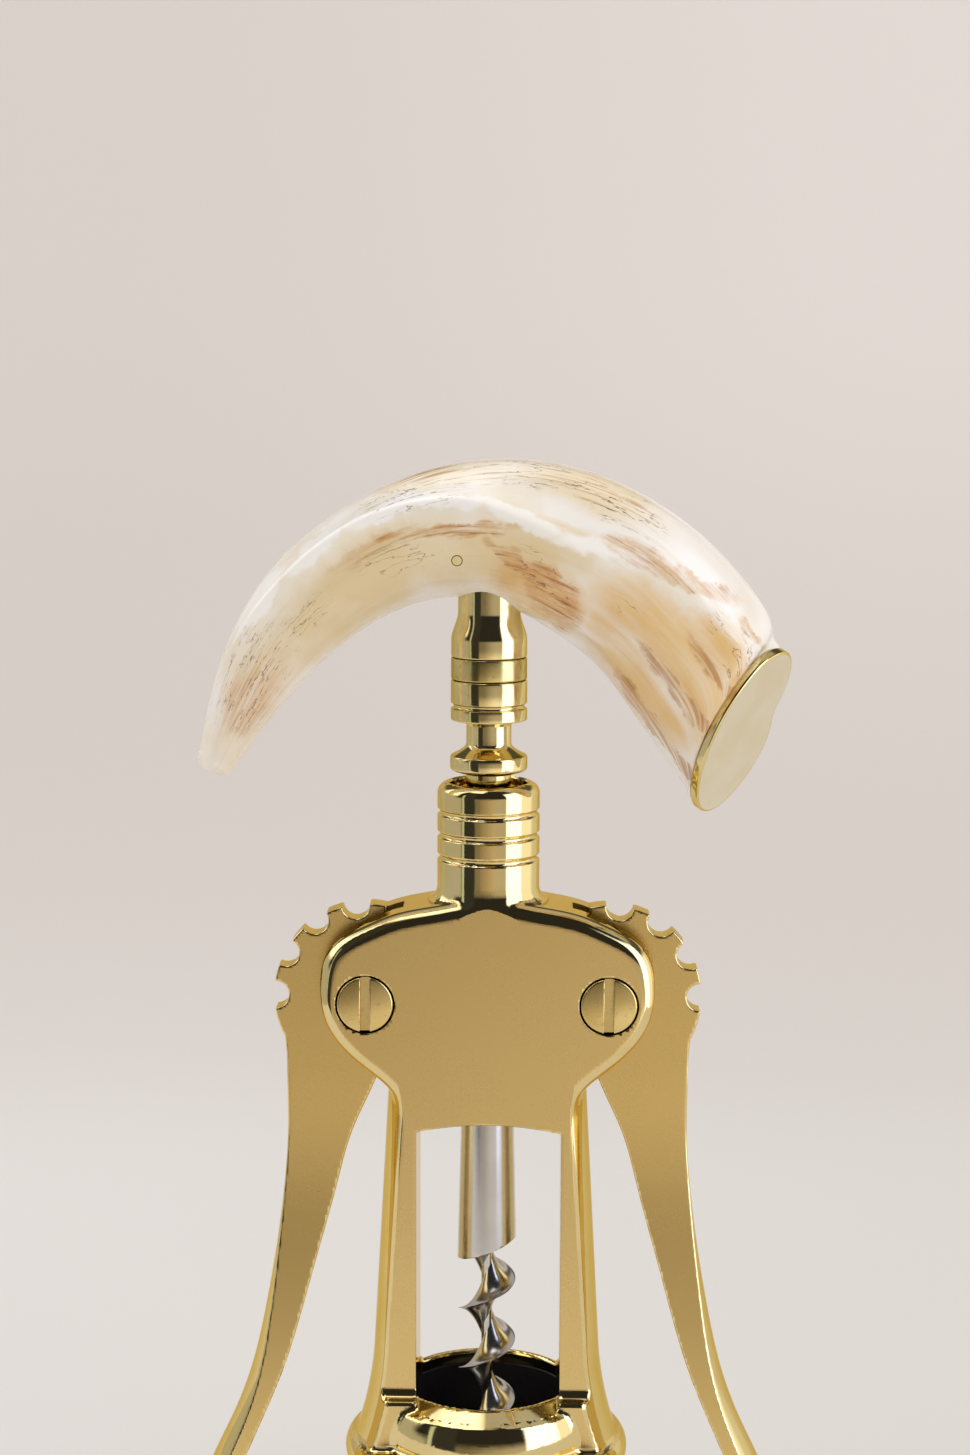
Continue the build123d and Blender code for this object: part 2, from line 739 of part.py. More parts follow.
pieces = (
    frame,
    bell_liner,
    left_lever,
    right_lever,
    left_pivot_screw,
    right_pivot_screw,
    left_pivot_nut,
    right_pivot_nut,
    rack,
    worm,
    worm_pin,
    lock_ring,
    handle_ferrule,
    handle_stud,
    tusk,
    tusk_pin,
    tusk_cap,
    tusk_cap_peg,
)
for piece in pieces:
    export_step(piece.part, "parts/" + piece.part.label + ".step")
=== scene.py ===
import bpy
import numpy as np
from math import cos, pi, radians, sin, sqrt
from mathutils import Matrix, Vector


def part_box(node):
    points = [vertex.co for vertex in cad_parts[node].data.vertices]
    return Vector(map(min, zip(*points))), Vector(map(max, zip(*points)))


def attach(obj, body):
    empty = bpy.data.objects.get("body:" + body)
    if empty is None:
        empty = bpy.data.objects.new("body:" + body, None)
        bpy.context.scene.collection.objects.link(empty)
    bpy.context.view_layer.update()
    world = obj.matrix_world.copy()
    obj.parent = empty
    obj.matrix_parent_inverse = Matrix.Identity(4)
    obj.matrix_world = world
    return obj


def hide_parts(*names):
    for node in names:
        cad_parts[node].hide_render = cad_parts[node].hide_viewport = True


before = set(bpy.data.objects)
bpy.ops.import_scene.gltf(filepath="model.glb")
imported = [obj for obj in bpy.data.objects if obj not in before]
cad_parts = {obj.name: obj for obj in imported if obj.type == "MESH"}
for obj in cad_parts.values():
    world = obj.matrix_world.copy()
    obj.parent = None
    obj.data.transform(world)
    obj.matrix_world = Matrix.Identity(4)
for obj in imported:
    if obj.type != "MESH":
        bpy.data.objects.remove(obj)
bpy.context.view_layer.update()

# Wing corkscrew. Sizes here are in millimetres and meshes are written in metres.
MM = 0.001

# Places on the screw's axis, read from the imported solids
FRAME_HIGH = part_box("frame")[1]
RACK_LOW, RACK_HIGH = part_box("rack")
FERRULE_LOW, FERRULE_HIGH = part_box("handle_ferrule")
SCREW_LOW, SCREW_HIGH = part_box("left_pivot_screw")
PIVOT_X = -(SCREW_LOW.x + SCREW_HIGH.x) / 2 / MM
PIVOT_Z = (SCREW_LOW.z + SCREW_HIGH.z) / 2 / MM
NECK_TOP = FRAME_HIGH.z / MM
RING_SEAT = RACK_HIGH.z / MM
HUB_Z = RACK_LOW.z / MM
FERRULE_Z = FERRULE_LOW.z / MM
FERRULE_TOP = FERRULE_HIGH.z / MM

# Frame casting
FACE_Y = 10.0
NECK_R = 9.35
BORE_R = 7.13
CHEEK_ROUND = 2.3
CROWN = 0.3
LIP_Z = 34.1
THROAT_Z = 31.7
FLANGE_Z = 21.8
POCKET_R = 18.3
MOUTH_R = 15.3
ARCH_Z = 84.4
ARCH_RISE = 1.5
WINDOW_X = 13.2
WINDOW_SHIFT = 0.4
SLOT_Y = 2.65
SLOT_R = 17.9
HOLE_R = 3.05
COUNTERBORE_R = 5.4
COUNTERBORE_DEEP = 2.6
GROOVE_DROP = 5.4
GROOVE_PITCH = 4.15
GROOVE_R = 0.6
GROOVE_OUT = 0.15
CUT_EDGE = 0.18

# Levers
GEAR_TIP = 17.1
LEVER_REACH = 102.0
TOOTH_ANGLE = 360.0 / 13
GULLET_R = 2.5
GULLET_AT = 16.9

# Stem
RACK_PITCH = 7.85
RACK_TIP = 7.05
RACK_ROOT = 4.1
HEAD_Z = RING_SEAT - 7.4
HEAD_R = 6.95
BAND_R = 6.9

# Tusk's cross pin, in the front face
PIN_LOW, PIN_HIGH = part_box("tusk_pin")
TUSK_PIN = ((PIN_LOW.x + PIN_HIGH.x) / 2 / MM, (PIN_LOW.z + PIN_HIGH.z) / 2 / MM)


# Colours and materials


def linear(code):
    # sRGB hex to the linear colour that a shader socket takes
    parts = [int(code[i : i + 2], 16) / 255 for i in (1, 3, 5)]
    return tuple(c / 12.92 if c <= 0.04045 else ((c + 0.055) / 1.055) ** 2.4 for c in parts) + (1.0,)


def add_node(tree, kind, settings=None, **links):
    # Adds one node, sets its properties and fills or links its inputs. An
    # input is named with underscores for spaces, or by number as in i0.
    node = tree.nodes.new(kind)
    for key, value in (settings or {}).items():
        setattr(node, key, value)
    for key, value in links.items():
        numbered = key[0] == "i" and key[1:].isdigit()
        socket = node.inputs[int(key[1:])] if numbered else node.inputs[key.replace("_", " ")]
        if isinstance(value, Wire):
            tree.links.new(value.node.outputs[value.key], socket)
        else:
            socket.default_value = value
    return Wire(tree, node)


def operator(operation, swapped=False):
    # Makes the method that stands for one operation in a formula
    def method(wire, *others):
        values = others + (wire,) if swapped else (wire,) + others
        inputs = {f"i{k}": value for k, value in enumerate(values)}
        return add_node(wire.tree, "ShaderNodeMath", {"operation": operation}, **inputs)

    return method


class Wire:
    # An output of a node. Formulas with wires add the nodes that they need.
    def __init__(self, tree, node, key=0):
        self.tree, self.node, self.key = tree, node, key

    def __getitem__(self, key):
        # Another output of the same node
        return Wire(self.tree, self.node, key)

    __add__, __mul__ = operator("ADD"), operator("MULTIPLY")
    __sub__, __rsub__ = operator("SUBTRACT"), operator("SUBTRACT", swapped=True)
    __truediv__, __pow__ = operator("DIVIDE"), operator("POWER")
    __abs__, __lt__ = operator("ABSOLUTE"), operator("LESS_THAN")
    largest, least, sign = operator("MAXIMUM"), operator("MINIMUM"), operator("SIGN")
    cosine, sine, arcsine = operator("COSINE"), operator("SINE"), operator("ARCSINE")
    angle, degrees = operator("ARCTAN2"), operator("DEGREES")

    def fade(self, low, high):
        # Smooth step from 0 at one level of the value to 1 at another
        settings = {"interpolation_type": "SMOOTHSTEP"}
        return add_node(self.tree, "ShaderNodeMapRange", settings, Value=self, From_Min=low, From_Max=high)

    def blend(self, first, second, mode="MIX"):
        # Colour between two others, with the value as the second one's share
        first, second = (linear(c) if isinstance(c, str) else c for c in (first, second))
        settings = {"data_type": "RGBA", "blend_type": mode}
        return add_node(self.tree, "ShaderNodeMix", settings, i0=self, i6=first, i7=second)[2]


def new_material(name):
    # Empty material, its tree and the place on the object
    mat = bpy.data.materials.new(name)
    mat.use_nodes = True
    mat.node_tree.nodes.clear()
    return mat, mat.node_tree, add_node(mat.node_tree, "ShaderNodeTexCoord")["Object"]


def finish_material(mat, height, bump, depth_mm, **inputs):
    # Ends a material with a shallow bump and the surface over it
    tree = mat.node_tree
    bumped = add_node(tree, "ShaderNodeBump", Strength=bump, Distance=depth_mm * MM, Height=height)
    shader = add_node(tree, "ShaderNodeBsdfPrincipled", Normal=bumped, **inputs)
    add_node(tree, "ShaderNodeOutputMaterial", Surface=shader)
    return mat


def noise(place, size_mm, detail=3.0, roughness=0.5, stretch=(1, 1, 1), turn=0.0):
    # Noise whose features are about size_mm across
    scale = tuple(s / (size_mm * MM) for s in stretch)
    mapped = add_node(place.tree, "ShaderNodeMapping", Vector=place, Scale=scale, Rotation=(0.0, turn, 0.0))
    amounts = {"Scale": 1.0, "Detail": detail, "Roughness": roughness}
    return add_node(place.tree, "ShaderNodeTexNoise", Vector=mapped, **amounts)


def brass(name, colour, rough, grain, bump, tarnish=0.25, satin=0.0, flat_colour=None, recess=0.0):
    # Metal with fine polishing haze: roughness and tone drift a little over
    # the surface, and a very shallow bump breaks up the reflections.
    mat, tree, place = new_material(name)
    drift = noise(place, 9.0, 4.0)
    haze = noise(place, 1.1, 5.0, 0.6)
    tone = drift.fade(0.35, 0.7).blend(colour[0], colour[1])
    tone = (haze.fade(0.55, 0.8) * tarnish).blend(tone, colour[2])
    rough_all = haze * grain + ((drift - 0.5) * 0.04 + rough)
    if satin:
        # A flat milled face is brushed duller than the polished curves round it
        normal = add_node(tree, "ShaderNodeTexCoord")["Normal"]
        flat = abs(add_node(tree, "ShaderNodeSeparateXYZ", Vector=normal)[1]).fade(0.98, 0.998)
        rough_all = flat * satin + rough_all
        tone = flat.blend(tone, flat_colour)
        # Painted shade, with some tarnish, in the recesses round the screws and in the slots.
        # Each limit stands a little off the cut's own wall.
        apart = add_node(tree, "ShaderNodeSeparateXYZ", Vector=place)
        side, deep, up = abs(apart[0]) - PIVOT_X * MM, abs(apart[1]), apart[2] - PIVOT_Z * MM
        reach = (side * side + up * up) ** 0.5
        bore = (reach < (COUNTERBORE_R + 0.06) * MM) * (deep < (FACE_Y - 0.3) * MM)
        slot = (reach < (SLOT_R + 0.1) * MM) * (deep < (SLOT_Y + 0.02) * MM)
        recess_shade_and_tarnish = bore.largest(slot * 0.3) * recess
        tone = recess_shade_and_tarnish.blend(tone, "#3a2c15")
        rough_all = recess_shade_and_tarnish * 0.5 + rough_all
    edge = {"Metallic": 1.0, "Specular_Tint": linear(colour[1])}
    return finish_material(mat, haze, bump, 0.02, Base_Color=tone, Roughness=rough_all, **edge)


# Cast brass, milled and machine polished: a bright mirror on the curves and a
# soft satin on the flat faces. The levers are cast and finished the same way.
CAST = {"rough": 0.05, "grain": 0.04, "bump": 0.03, "tarnish": 0.12, "satin": 0.2}
CAST_TONES = ("#edd9a0", "#e9d394", "#c0a466")
POLISHED_BRASS = brass("polished_cast_brass", CAST_TONES, flat_colour="#edcf8b", recess=1.0, **CAST)
LEVER_BRASS = brass("polished_lever_brass", CAST_TONES, flat_colour="#edcd84", **CAST)
# Brass bar turned on a lathe and buffed
TURNED_BRASS = brass("turned_brass", ("#ecdaa2", "#e2cd8c", "#a08c55"), 0.06, 0.08, 0.15, tarnish=0.3)
# The same bar where a tool has faced it, left with a fine satin
FACED_BRASS = brass("faced_brass", ("#edd492", "#e6ca82", "#a88c50"), 0.2, 0.12, 0.3, tarnish=0.4)
# Tooled brass, dulled by handling
WORN_BRASS = brass("worn_turned_brass", ("#dfcd90", "#ccb774", "#877545"), 0.14, 0.16, 0.5, tarnish=0.6)
# Sheet brass, lapped flat
LAPPED_BRASS = brass("lapped_brass_cap", ("#f6efdc", "#f3e9d0", "#dccfa8"), 0.16, 0.05, 0.1)
# Ground and polished steel wire
GROUND_STEEL = brass("ground_steel", ("#dedad5", "#cfcac4", "#a29b92"), 0.16, 0.1, 0.15)


def turned_steel():
    # Steel bar, fine turned and left with a satin sheen that runs round it
    mat, _, place = new_material("satin_turned_steel")
    rings = noise(place, 0.35, 2.0, stretch=(0.05, 0.05, 1))
    tone = noise(place, 6.0, 3.0).blend("#e4e1de", "#d2cdc9")
    rough = rings * 0.12 + 0.16
    return finish_material(mat, rings, 0.15, 0.01, Base_Color=tone, Metallic=1.0, Roughness=rough)


def black_plastic():
    # Injection moulded acetal, fine matt texture with a slight sheen
    mat, _, place = new_material("moulded_black_acetal")
    grit = noise(place, 0.25, 3.0)
    tone = noise(place, 7.0, 3.0).blend("#17151a", "#24222a")
    rough = grit * 0.2 + 0.34
    return finish_material(mat, grit, 0.25, 0.02, Base_Color=tone, Roughness=rough, IOR=1.48)


STEEL = turned_steel()
BLACK_PLASTIC = black_plastic()


def tusk_ivory():
    # Boar tusk, sanded and polished: white enamel and dentine that goes yellow
    # where it is thick, with brown growth stains and fine dark cracks. A highlight
    # is painted along the ridge, and shade under it and round the pin.
    mat, tree, place = new_material("polished_tusk_dentine")
    grain = add_node(tree, "ShaderNodeTexCoord")["UV"]
    apart = add_node(tree, "ShaderNodeSeparateXYZ", Vector=place)
    px, py, pz = apart[0], apart[1], apart[2]
    # Marks stand on moved places, so that they get ragged outlines
    ragged_mm = 5.0
    wx = (noise(place, ragged_mm, 4.0, 0.6, turn=0.4) - 0.5) * (ragged_mm * MM) + px
    wz = (noise(place, ragged_mm, 4.0, 0.6, turn=1.9) - 0.5) * (ragged_mm * MM) + pz
    facing = py.fade(1 * MM, -3 * MM)

    def spot(x, z, long, wide, turn=0.0, soft=0.9):
        # Ragged oval round a place on the tusk, with its sizes in millimetres
        c, s = cos(radians(turn)), sin(radians(turn))
        dx, dz = wx - x * MM, wz - z * MM
        along = dx * (c / (long * MM)) + dz * (s / (long * MM))
        across = dz * (c / (wide * MM)) + dx * (-s / (wide * MM))
        return (along * along + across * across).fade(1.0, 1.0 - soft)

    def spots(*places):
        # Several ovals taken as one mark
        masks = [spot(*p) for p in places]
        result = masks[0]
        for mask in masks[1:]:
            result = result.largest(mask)
        return result

    def streaks(along, around, detail=4.0, roughness=0.6, shift=0.0):
        # Streaks run along the tusk, which its own UV map follows
        size = {"Scale": (1 / along, 1 / around, 1.0), "Location": (shift, shift, 0.0)}
        mapped = add_node(tree, "ShaderNodeMapping", Vector=grain, **size)
        amounts = {"Scale": 1.0, "Detail": detail, "Roughness": roughness}
        return add_node(tree, "ShaderNodeTexNoise", Vector=mapped, **amounts)

    def stained(amount, colour):
        # Lays a transparent stain over the tone
        return amount.blend(tone, colour, "MULTIPLY")

    fibre = streaks(34.0, 2.4)
    fine = streaks(14.0, 0.7, shift=7.0)
    broad = streaks(60.0, 7.0, shift=3.0)
    tone = noise(place, 16.0, 4.0).fade(0.42, 0.62).blend("#f7f3ee", "#f3e9d8")
    # Yellow dentine low on the thick end and along the belly of the front
    warm = spots((30, 171, 21, 12, -52, 0.7), (38, 171, 15, 8, -45, 0.7), (10, 183, 13, 6, -30))
    warm = warm.largest(spot(-42, 165, 6, 12, -30, 1.0) * 0.5) * facing
    tone = stained(warm * broad.fade(0.25, 0.6), "#f2d39a")
    belly = spots((-22, 184, 27, 9, 38), (-2, 189.5, 28, 7, 2)) * facing
    tone = stained(belly, "#f0e3c2")
    tone = stained(fibre.fade(0.54, 0.72) * 0.5, "#efdcb4")
    # The upper face is creamier, and the white band along the ridge below it is a painted highlight
    cream = spots((-12, 204, 24, 3.6, 8), (17, 201.5, 20, 4.5, -22))
    tone = stained(cream * 0.6, "#f5ead0")
    ridge_highlight = spots(
        *((-41, 181, 9, 2.0, 57, 0.7), (-30.5, 191, 9, 2.0, 43, 0.7), (-19, 197, 9, 1.9, 22, 0.7)),
        *((-7, 199.2, 10, 1.7, 1, 0.7), (6, 196.2, 9, 1.8, -24, 0.7), (18, 191.5, 10, 2.2, -14, 0.8)),
    )
    tone = (ridge_highlight * facing * 0.85).blend(tone, "#fdfcfa")
    # Long brown folds on the thick end
    folds = spots((30.5, 158, 17, 1.3, -53, 0.6), (34, 165, 15, 1.6, -55, 0.7), (41, 168, 12, 1.5, -56))
    folds = folds * facing * fine.fade(0.36, 0.58)
    tone = stained(folds * 0.7, "#c08c46")
    # Brown growth stains, and left of the pin a brown streak painted as the shadow under the ridge
    stains_and_ridge_shadow = spots(
        *((4, 189.5, 7, 1.6, -38), (11.5, 182.5, 8.5, 4.4, -52, 0.8), (-6, 194.3, 14, 1.5, 2)),
        *((26, 190.5, 8, 2.6, -25, 0.8), (36, 185.3, 12, 1.9, -24, 0.8)),
        *((47, 176, 5, 1.2, -50), (-17, 193, 5, 1.4, 20)),
    )
    # The streak at (-20, 191) here is painted shadow under the ridge
    stains_and_ridge_shadow = stains_and_ridge_shadow.largest(spots((-43, 163, 5, 9, -32, 1.0), (-20, 191, 12, 2, 28)) * 0.5) * facing
    stains_and_ridge_shadow = stains_and_ridge_shadow * streaks(10.0, 1.1, 7.0, 0.72, 5.0).fade(0.3, 0.68)
    tone = stained(stains_and_ridge_shadow * 0.8, "#d9a13c")
    tone = stained(stains_and_ridge_shadow * fine.fade(0.5, 0.64), "#b98a3e")
    upper = spots((18, 201, 16, 2.2, -22), (-8, 203.5, 14, 1.8, 4)) * fine.fade(0.48, 0.66)
    tone = stained(upper * 0.8, "#b98f58")
    # Dark cracks, thin lines where a wavy noise crosses its middle level
    line = abs(streaks(11.0, 2.2, 3.0, 0.6, 11.0) - 0.5).fade(0.012, 0.003)
    cracked = spots(
        *((-42.5, 167, 7, 14, -25), (-33, 178, 8, 3, 45), (-16, 189, 9, 3, 10)),
        *((10, 186, 9, 3.5, -46), (25, 181, 3, 2.0, 0), (44, 172, 4, 10, 30)),
    )
    cracked_above = spots((-14, 199.5, 13, 2.6, 10), (8, 204, 20, 2.6, -8), (24, 198, 10, 3.5, -28))
    line = line * (cracked * facing).largest(cracked_above)
    tone = (line * 0.75).blend(tone, "#6e421b")
    # Painted shade of the gap round the pin: a dark ring, where the mesh has no hole
    dx, dz = px - TUSK_PIN[0] * MM, pz - TUSK_PIN[1] * MM
    reach = (dx * dx + dz * dz) ** 0.5
    tone = (reach.fade(1.08 * MM, 0.95 * MM) * facing).blend(tone, "#2c2214")
    return finish_material(
        mat,
        fine * 0.3 - line,
        0.3,
        0.1,
        Base_Color=tone,
        Roughness=fine * 0.16 + 0.15,
        IOR=1.54,
        Subsurface_Weight=0.05,
        Subsurface_Radius=(0.8, 0.6, 0.45),
        Subsurface_Scale=1.2 * MM,
        Coat_Weight=0.5,
        Coat_Roughness=0.1,
    )


IVORY = tusk_ivory()


# Meshes


def new_object(name, data):
    obj = bpy.data.objects.new(name, data)
    bpy.context.scene.collection.objects.link(obj)
    return obj


def coordinates(mesh):
    # Places of a mesh's points, in metres
    co = np.empty(len(mesh.vertices) * 3)
    mesh.vertices.foreach_get("co", co)
    return co.reshape(-1, 3)


def mesh_object(name, points, faces, material):
    mesh = bpy.data.meshes.new(name)
    faces = faces.tolist() if isinstance(faces, np.ndarray) else faces
    mesh.from_pydata((np.asarray(points, float) * MM).tolist(), [], faces)
    mesh.update()
    mesh.polygons.foreach_set("use_smooth", [True] * len(mesh.polygons))
    mesh.materials.append(material)
    return new_object(name, mesh)


def outward(obj):
    # Turns the faces of a closed mesh outwards, going by the sign of its volume
    mesh = obj.data
    mesh.calc_loop_triangles()
    co = coordinates(mesh)
    tri = np.array([t.vertices[:] for t in mesh.loop_triangles])
    volume = np.sum(co[tri[:, 0]] * np.cross(co[tri[:, 1]], co[tri[:, 2]]))
    if volume < 0:
        mesh.flip_normals()
    return obj


def spline(knots, values):
    # Natural cubic curve through the given values
    x = np.asarray(knots, float)
    y = np.asarray(values, float)
    n = len(x)
    h = np.diff(x)
    left = np.eye(n)
    right = np.zeros_like(y)
    for i in range(1, n - 1):
        left[i, i - 1 : i + 2] = h[i - 1], 2 * (h[i - 1] + h[i]), h[i]
        right[i] = 6 * ((y[i + 1] - y[i]) / h[i] - (y[i] - y[i - 1]) / h[i - 1])
    bend = np.linalg.solve(left, right.reshape(n, -1)).reshape(y.shape)

    def at(t):
        t = np.clip(np.asarray(t, float), x[0], x[-1])
        i = np.clip(np.searchsorted(x, t) - 1, 0, n - 2)
        more = (...,) + (None,) * (y.ndim - 1)
        w, a, b = h[i][more], (x[i + 1] - t)[more], (t - x[i])[more]
        curve = (bend[i] * a**3 + bend[i + 1] * b**3) / (6 * w)
        return curve + (y[i] / w - bend[i] * w / 6) * a + (y[i + 1] / w - bend[i + 1] * w / 6) * b

    return at


def arc(cx, cy, r, start, end, count):
    # Points of an arc from one angle to another, in degrees
    return [(cx + r * cos(radians(a)), cy + r * sin(radians(a))) for a in np.linspace(start, end, count)]


class Outline:
    # Signed distance to a closed outline, negative inside, kept as a fine table
    def __init__(self, points, step=0.12, margin=3.0):
        self.step = step
        p = np.asarray(points, float)
        q = np.roll(p, -1, 0)
        self.low = p.min(0) - margin
        us = np.arange(self.low[0], p[:, 0].max() + margin, step)
        vs = np.arange(self.low[1], p[:, 1].max() + margin, step)
        u, v = us[:, None], vs[None, :]
        near = np.full((len(us), len(vs)), 1e9)
        inside = np.zeros(near.shape, bool)
        for (ax, ay), (bx, by) in zip(p, q):
            dx, dy = bx - ax, by - ay
            size = dx * dx + dy * dy
            if size < 1e-12:
                continue
            t = np.clip(((u - ax) * dx + (v - ay) * dy) / size, 0, 1)
            near = np.minimum(near, (u - ax - t * dx) ** 2 + (v - ay - t * dy) ** 2)
            crosses = (ay > v) != (by > v)
            inside ^= crosses & (u < ax + (v - ay) * dx / (dy if dy else 1e-12))
        self.table = np.where(inside, -1, 1) * np.sqrt(near)

    def __call__(self, u, v):
        fu = np.clip((u - self.low[0]) / self.step, 0, self.table.shape[0] - 1.001)
        fv = np.clip((v - self.low[1]) / self.step, 0, self.table.shape[1] - 1.001)
        i, j = fu.astype(int), fv.astype(int)
        fu, fv = fu - i, fv - j
        t = self.table
        low = t[i, j] * (1 - fu) + t[i + 1, j] * fu
        return low * (1 - fv) + (t[i, j + 1] * (1 - fu) + t[i + 1, j + 1] * fu) * fv


def both(a, b, r=0.0):
    # Intersection of two solids with the edge between them rounded
    if np.ndim(r) == 0 and not r:
        return np.maximum(a, b)
    return np.minimum(-r, np.maximum(a, b)) + np.hypot(np.maximum(a + r, 0), np.maximum(b + r, 0))


def either(a, b, r=0.0):
    # Union of two solids with a fillet between them
    return -both(-a, -b, r)


def eased(share):
    # Smooth step of a number from 0 to 1
    share = np.clip(share, 0, 1)
    return share * share * (3 - 2 * share)


def cells(low, high, step):
    # Grid planes between two heights, off any round number
    return np.arange(low, high + step, step) + 0.0137


# Terms of a symmetric 3 by 3 matrix
PAIRS = ((0, 0), (0, 1), (0, 2), (1, 1), (1, 2), (2, 2))


def surface(name, field, xs, ys, zs, material):
    # Meshes the surface where a signed distance is zero. Each grid cell that
    # the surface crosses gets one vertex, placed where the planes through its
    # crossings meet, so that edges stay sharp and fillets stay smooth.
    axes = (xs, ys, zs)
    value = field(xs[:, None, None], ys[None, :, None], zs[None, None, :])
    value = np.ascontiguousarray(np.broadcast_to(value, (len(xs), len(ys), len(zs))))
    inside = value < 0
    shape = np.array([len(xs) - 1, len(ys) - 1, len(zs) - 1])
    total = int(np.prod(shape))

    def slope(p):
        g = np.stack([field(*(p + e).T) - field(*(p - e).T) for e in 0.02 * np.eye(3)], 1)
        return g / np.maximum(np.linalg.norm(g, axis=1), 1e-12)[:, None]

    # For each cell, sums of the terms of its planes and crossings, and their count
    sums = np.zeros((13, total))
    quads = []
    for axis in range(3):
        # Grid edges along this axis that cross the surface, from a to b
        near = [slice(None)] * 3
        far = near.copy()
        near[axis], far[axis] = slice(0, -1), slice(1, None)
        cross = np.argwhere(inside[tuple(near)] != inside[tuple(far)])
        other = cross.copy()
        other[:, axis] += 1
        va, vb = value[tuple(cross.T)], value[tuple(other.T)]
        pa = np.stack([axes[k][cross[:, k]] for k in range(3)], 1)
        pb = np.stack([axes[k][other[:, k]] for k in range(3)], 1)
        lo, hi, flo, fhi = np.zeros(len(cross)), np.ones(len(cross)), va, vb
        # Closes in on the crossing of each edge, as a share t of its length
        for _ in range(5):
            t = np.clip(lo + (hi - lo) * flo / (flo - fhi + 1e-15), lo, hi)
            p = pa + (pb - pa) * t[:, None]
            ft = field(*p.T)
            same = (ft < 0) == (flo < 0)
            lo, flo = np.where(same, t, lo), np.where(same, ft, flo)
            hi, fhi = np.where(same, hi, t), np.where(same, fhi, ft)
        n = slope(p)
        d = np.sum(n * p, 1)
        terms = [n[:, i] * n[:, j] for i, j in PAIRS]
        terms += [*(n * d[:, None]).T, *p.T, np.ones(len(p))]
        # The four cells round each edge make one face
        u, v = (axis + 1) % 3, (axis + 2) % 3
        ring = []
        for du, dv in ((-1, -1), (0, -1), (0, 0), (-1, 0)):
            cell = cross.copy()
            cell[:, u] += du
            cell[:, v] += dv
            flat = (cell[:, 0] * shape[1] + cell[:, 1]) * shape[2] + cell[:, 2]
            ring.append(flat)
            for k, term in enumerate(terms):
                sums[k] += np.bincount(flat, term, total)
        ring = np.stack(ring, 1)
        quads.append(np.where((va < 0)[:, None], ring, ring[:, ::-1]))
    # Each cell's vertex lies where its planes meet, and a slight pull keeps it
    # near its crossings where they leave it free
    pull = 0.03
    quads = np.concatenate(quads)
    used = np.unique(quads)
    s = sums[:, used]
    count = s[12]
    middle = (s[9:12] / count).T
    a = np.empty((len(used), 3, 3))
    for k, (i, j) in enumerate(PAIRS):
        a[:, i, j] = a[:, j, i] = s[k]
    b = s[6:9].T - np.einsum("nij,nj->ni", a, middle)
    a += np.eye(3)[None] * (pull * count)[:, None, None]
    place = middle + np.linalg.solve(a, b[..., None])[..., 0]
    index = np.stack(np.unravel_index(used, shape), 1)
    low = np.stack([axes[k][index[:, k]] for k in range(3)], 1)
    high = np.stack([axes[k][index[:, k] + 1] for k in range(3)], 1)
    place = np.clip(place, low, high)
    quads = np.searchsorted(used, quads)
    obj = mesh_object(name, place, quads, material)
    # Each corner takes the field's slope just inside its own face
    corner = place[quads]
    inset = corner + 0.3 * (corner.mean(1, keepdims=True) - corner)
    obj.data.normals_split_custom_set(slope(inset.reshape(-1, 3)))
    return obj


def mirrored(obj, name):
    # The same piece on the other side, with its faces turned back outwards
    mesh = obj.data
    co = coordinates(mesh) / MM * (-1, 1, 1)
    faces = np.array([p.vertices[:] for p in mesh.polygons])[:, ::-1]
    normals = np.empty(len(mesh.loops) * 3)
    mesh.corner_normals.foreach_get("vector", normals)
    normals = normals.reshape(-1, 4, 3)[:, ::-1] * (-1, 1, 1)
    twin = mesh_object(name, co, faces, mesh.materials[0])
    twin.data.normals_split_custom_set(normals.reshape(-1, 3))
    return twin


def join(name, objects):
    # Joins finished meshes into one piece, each keeping its own normals
    bpy.ops.object.select_all(action="DESELECT")
    for obj in objects:
        obj.select_set(True)
    bpy.context.view_layer.objects.active = objects[0]
    bpy.ops.object.join()
    objects[0].name = name
    objects[0].data.name = name
    return objects[0]


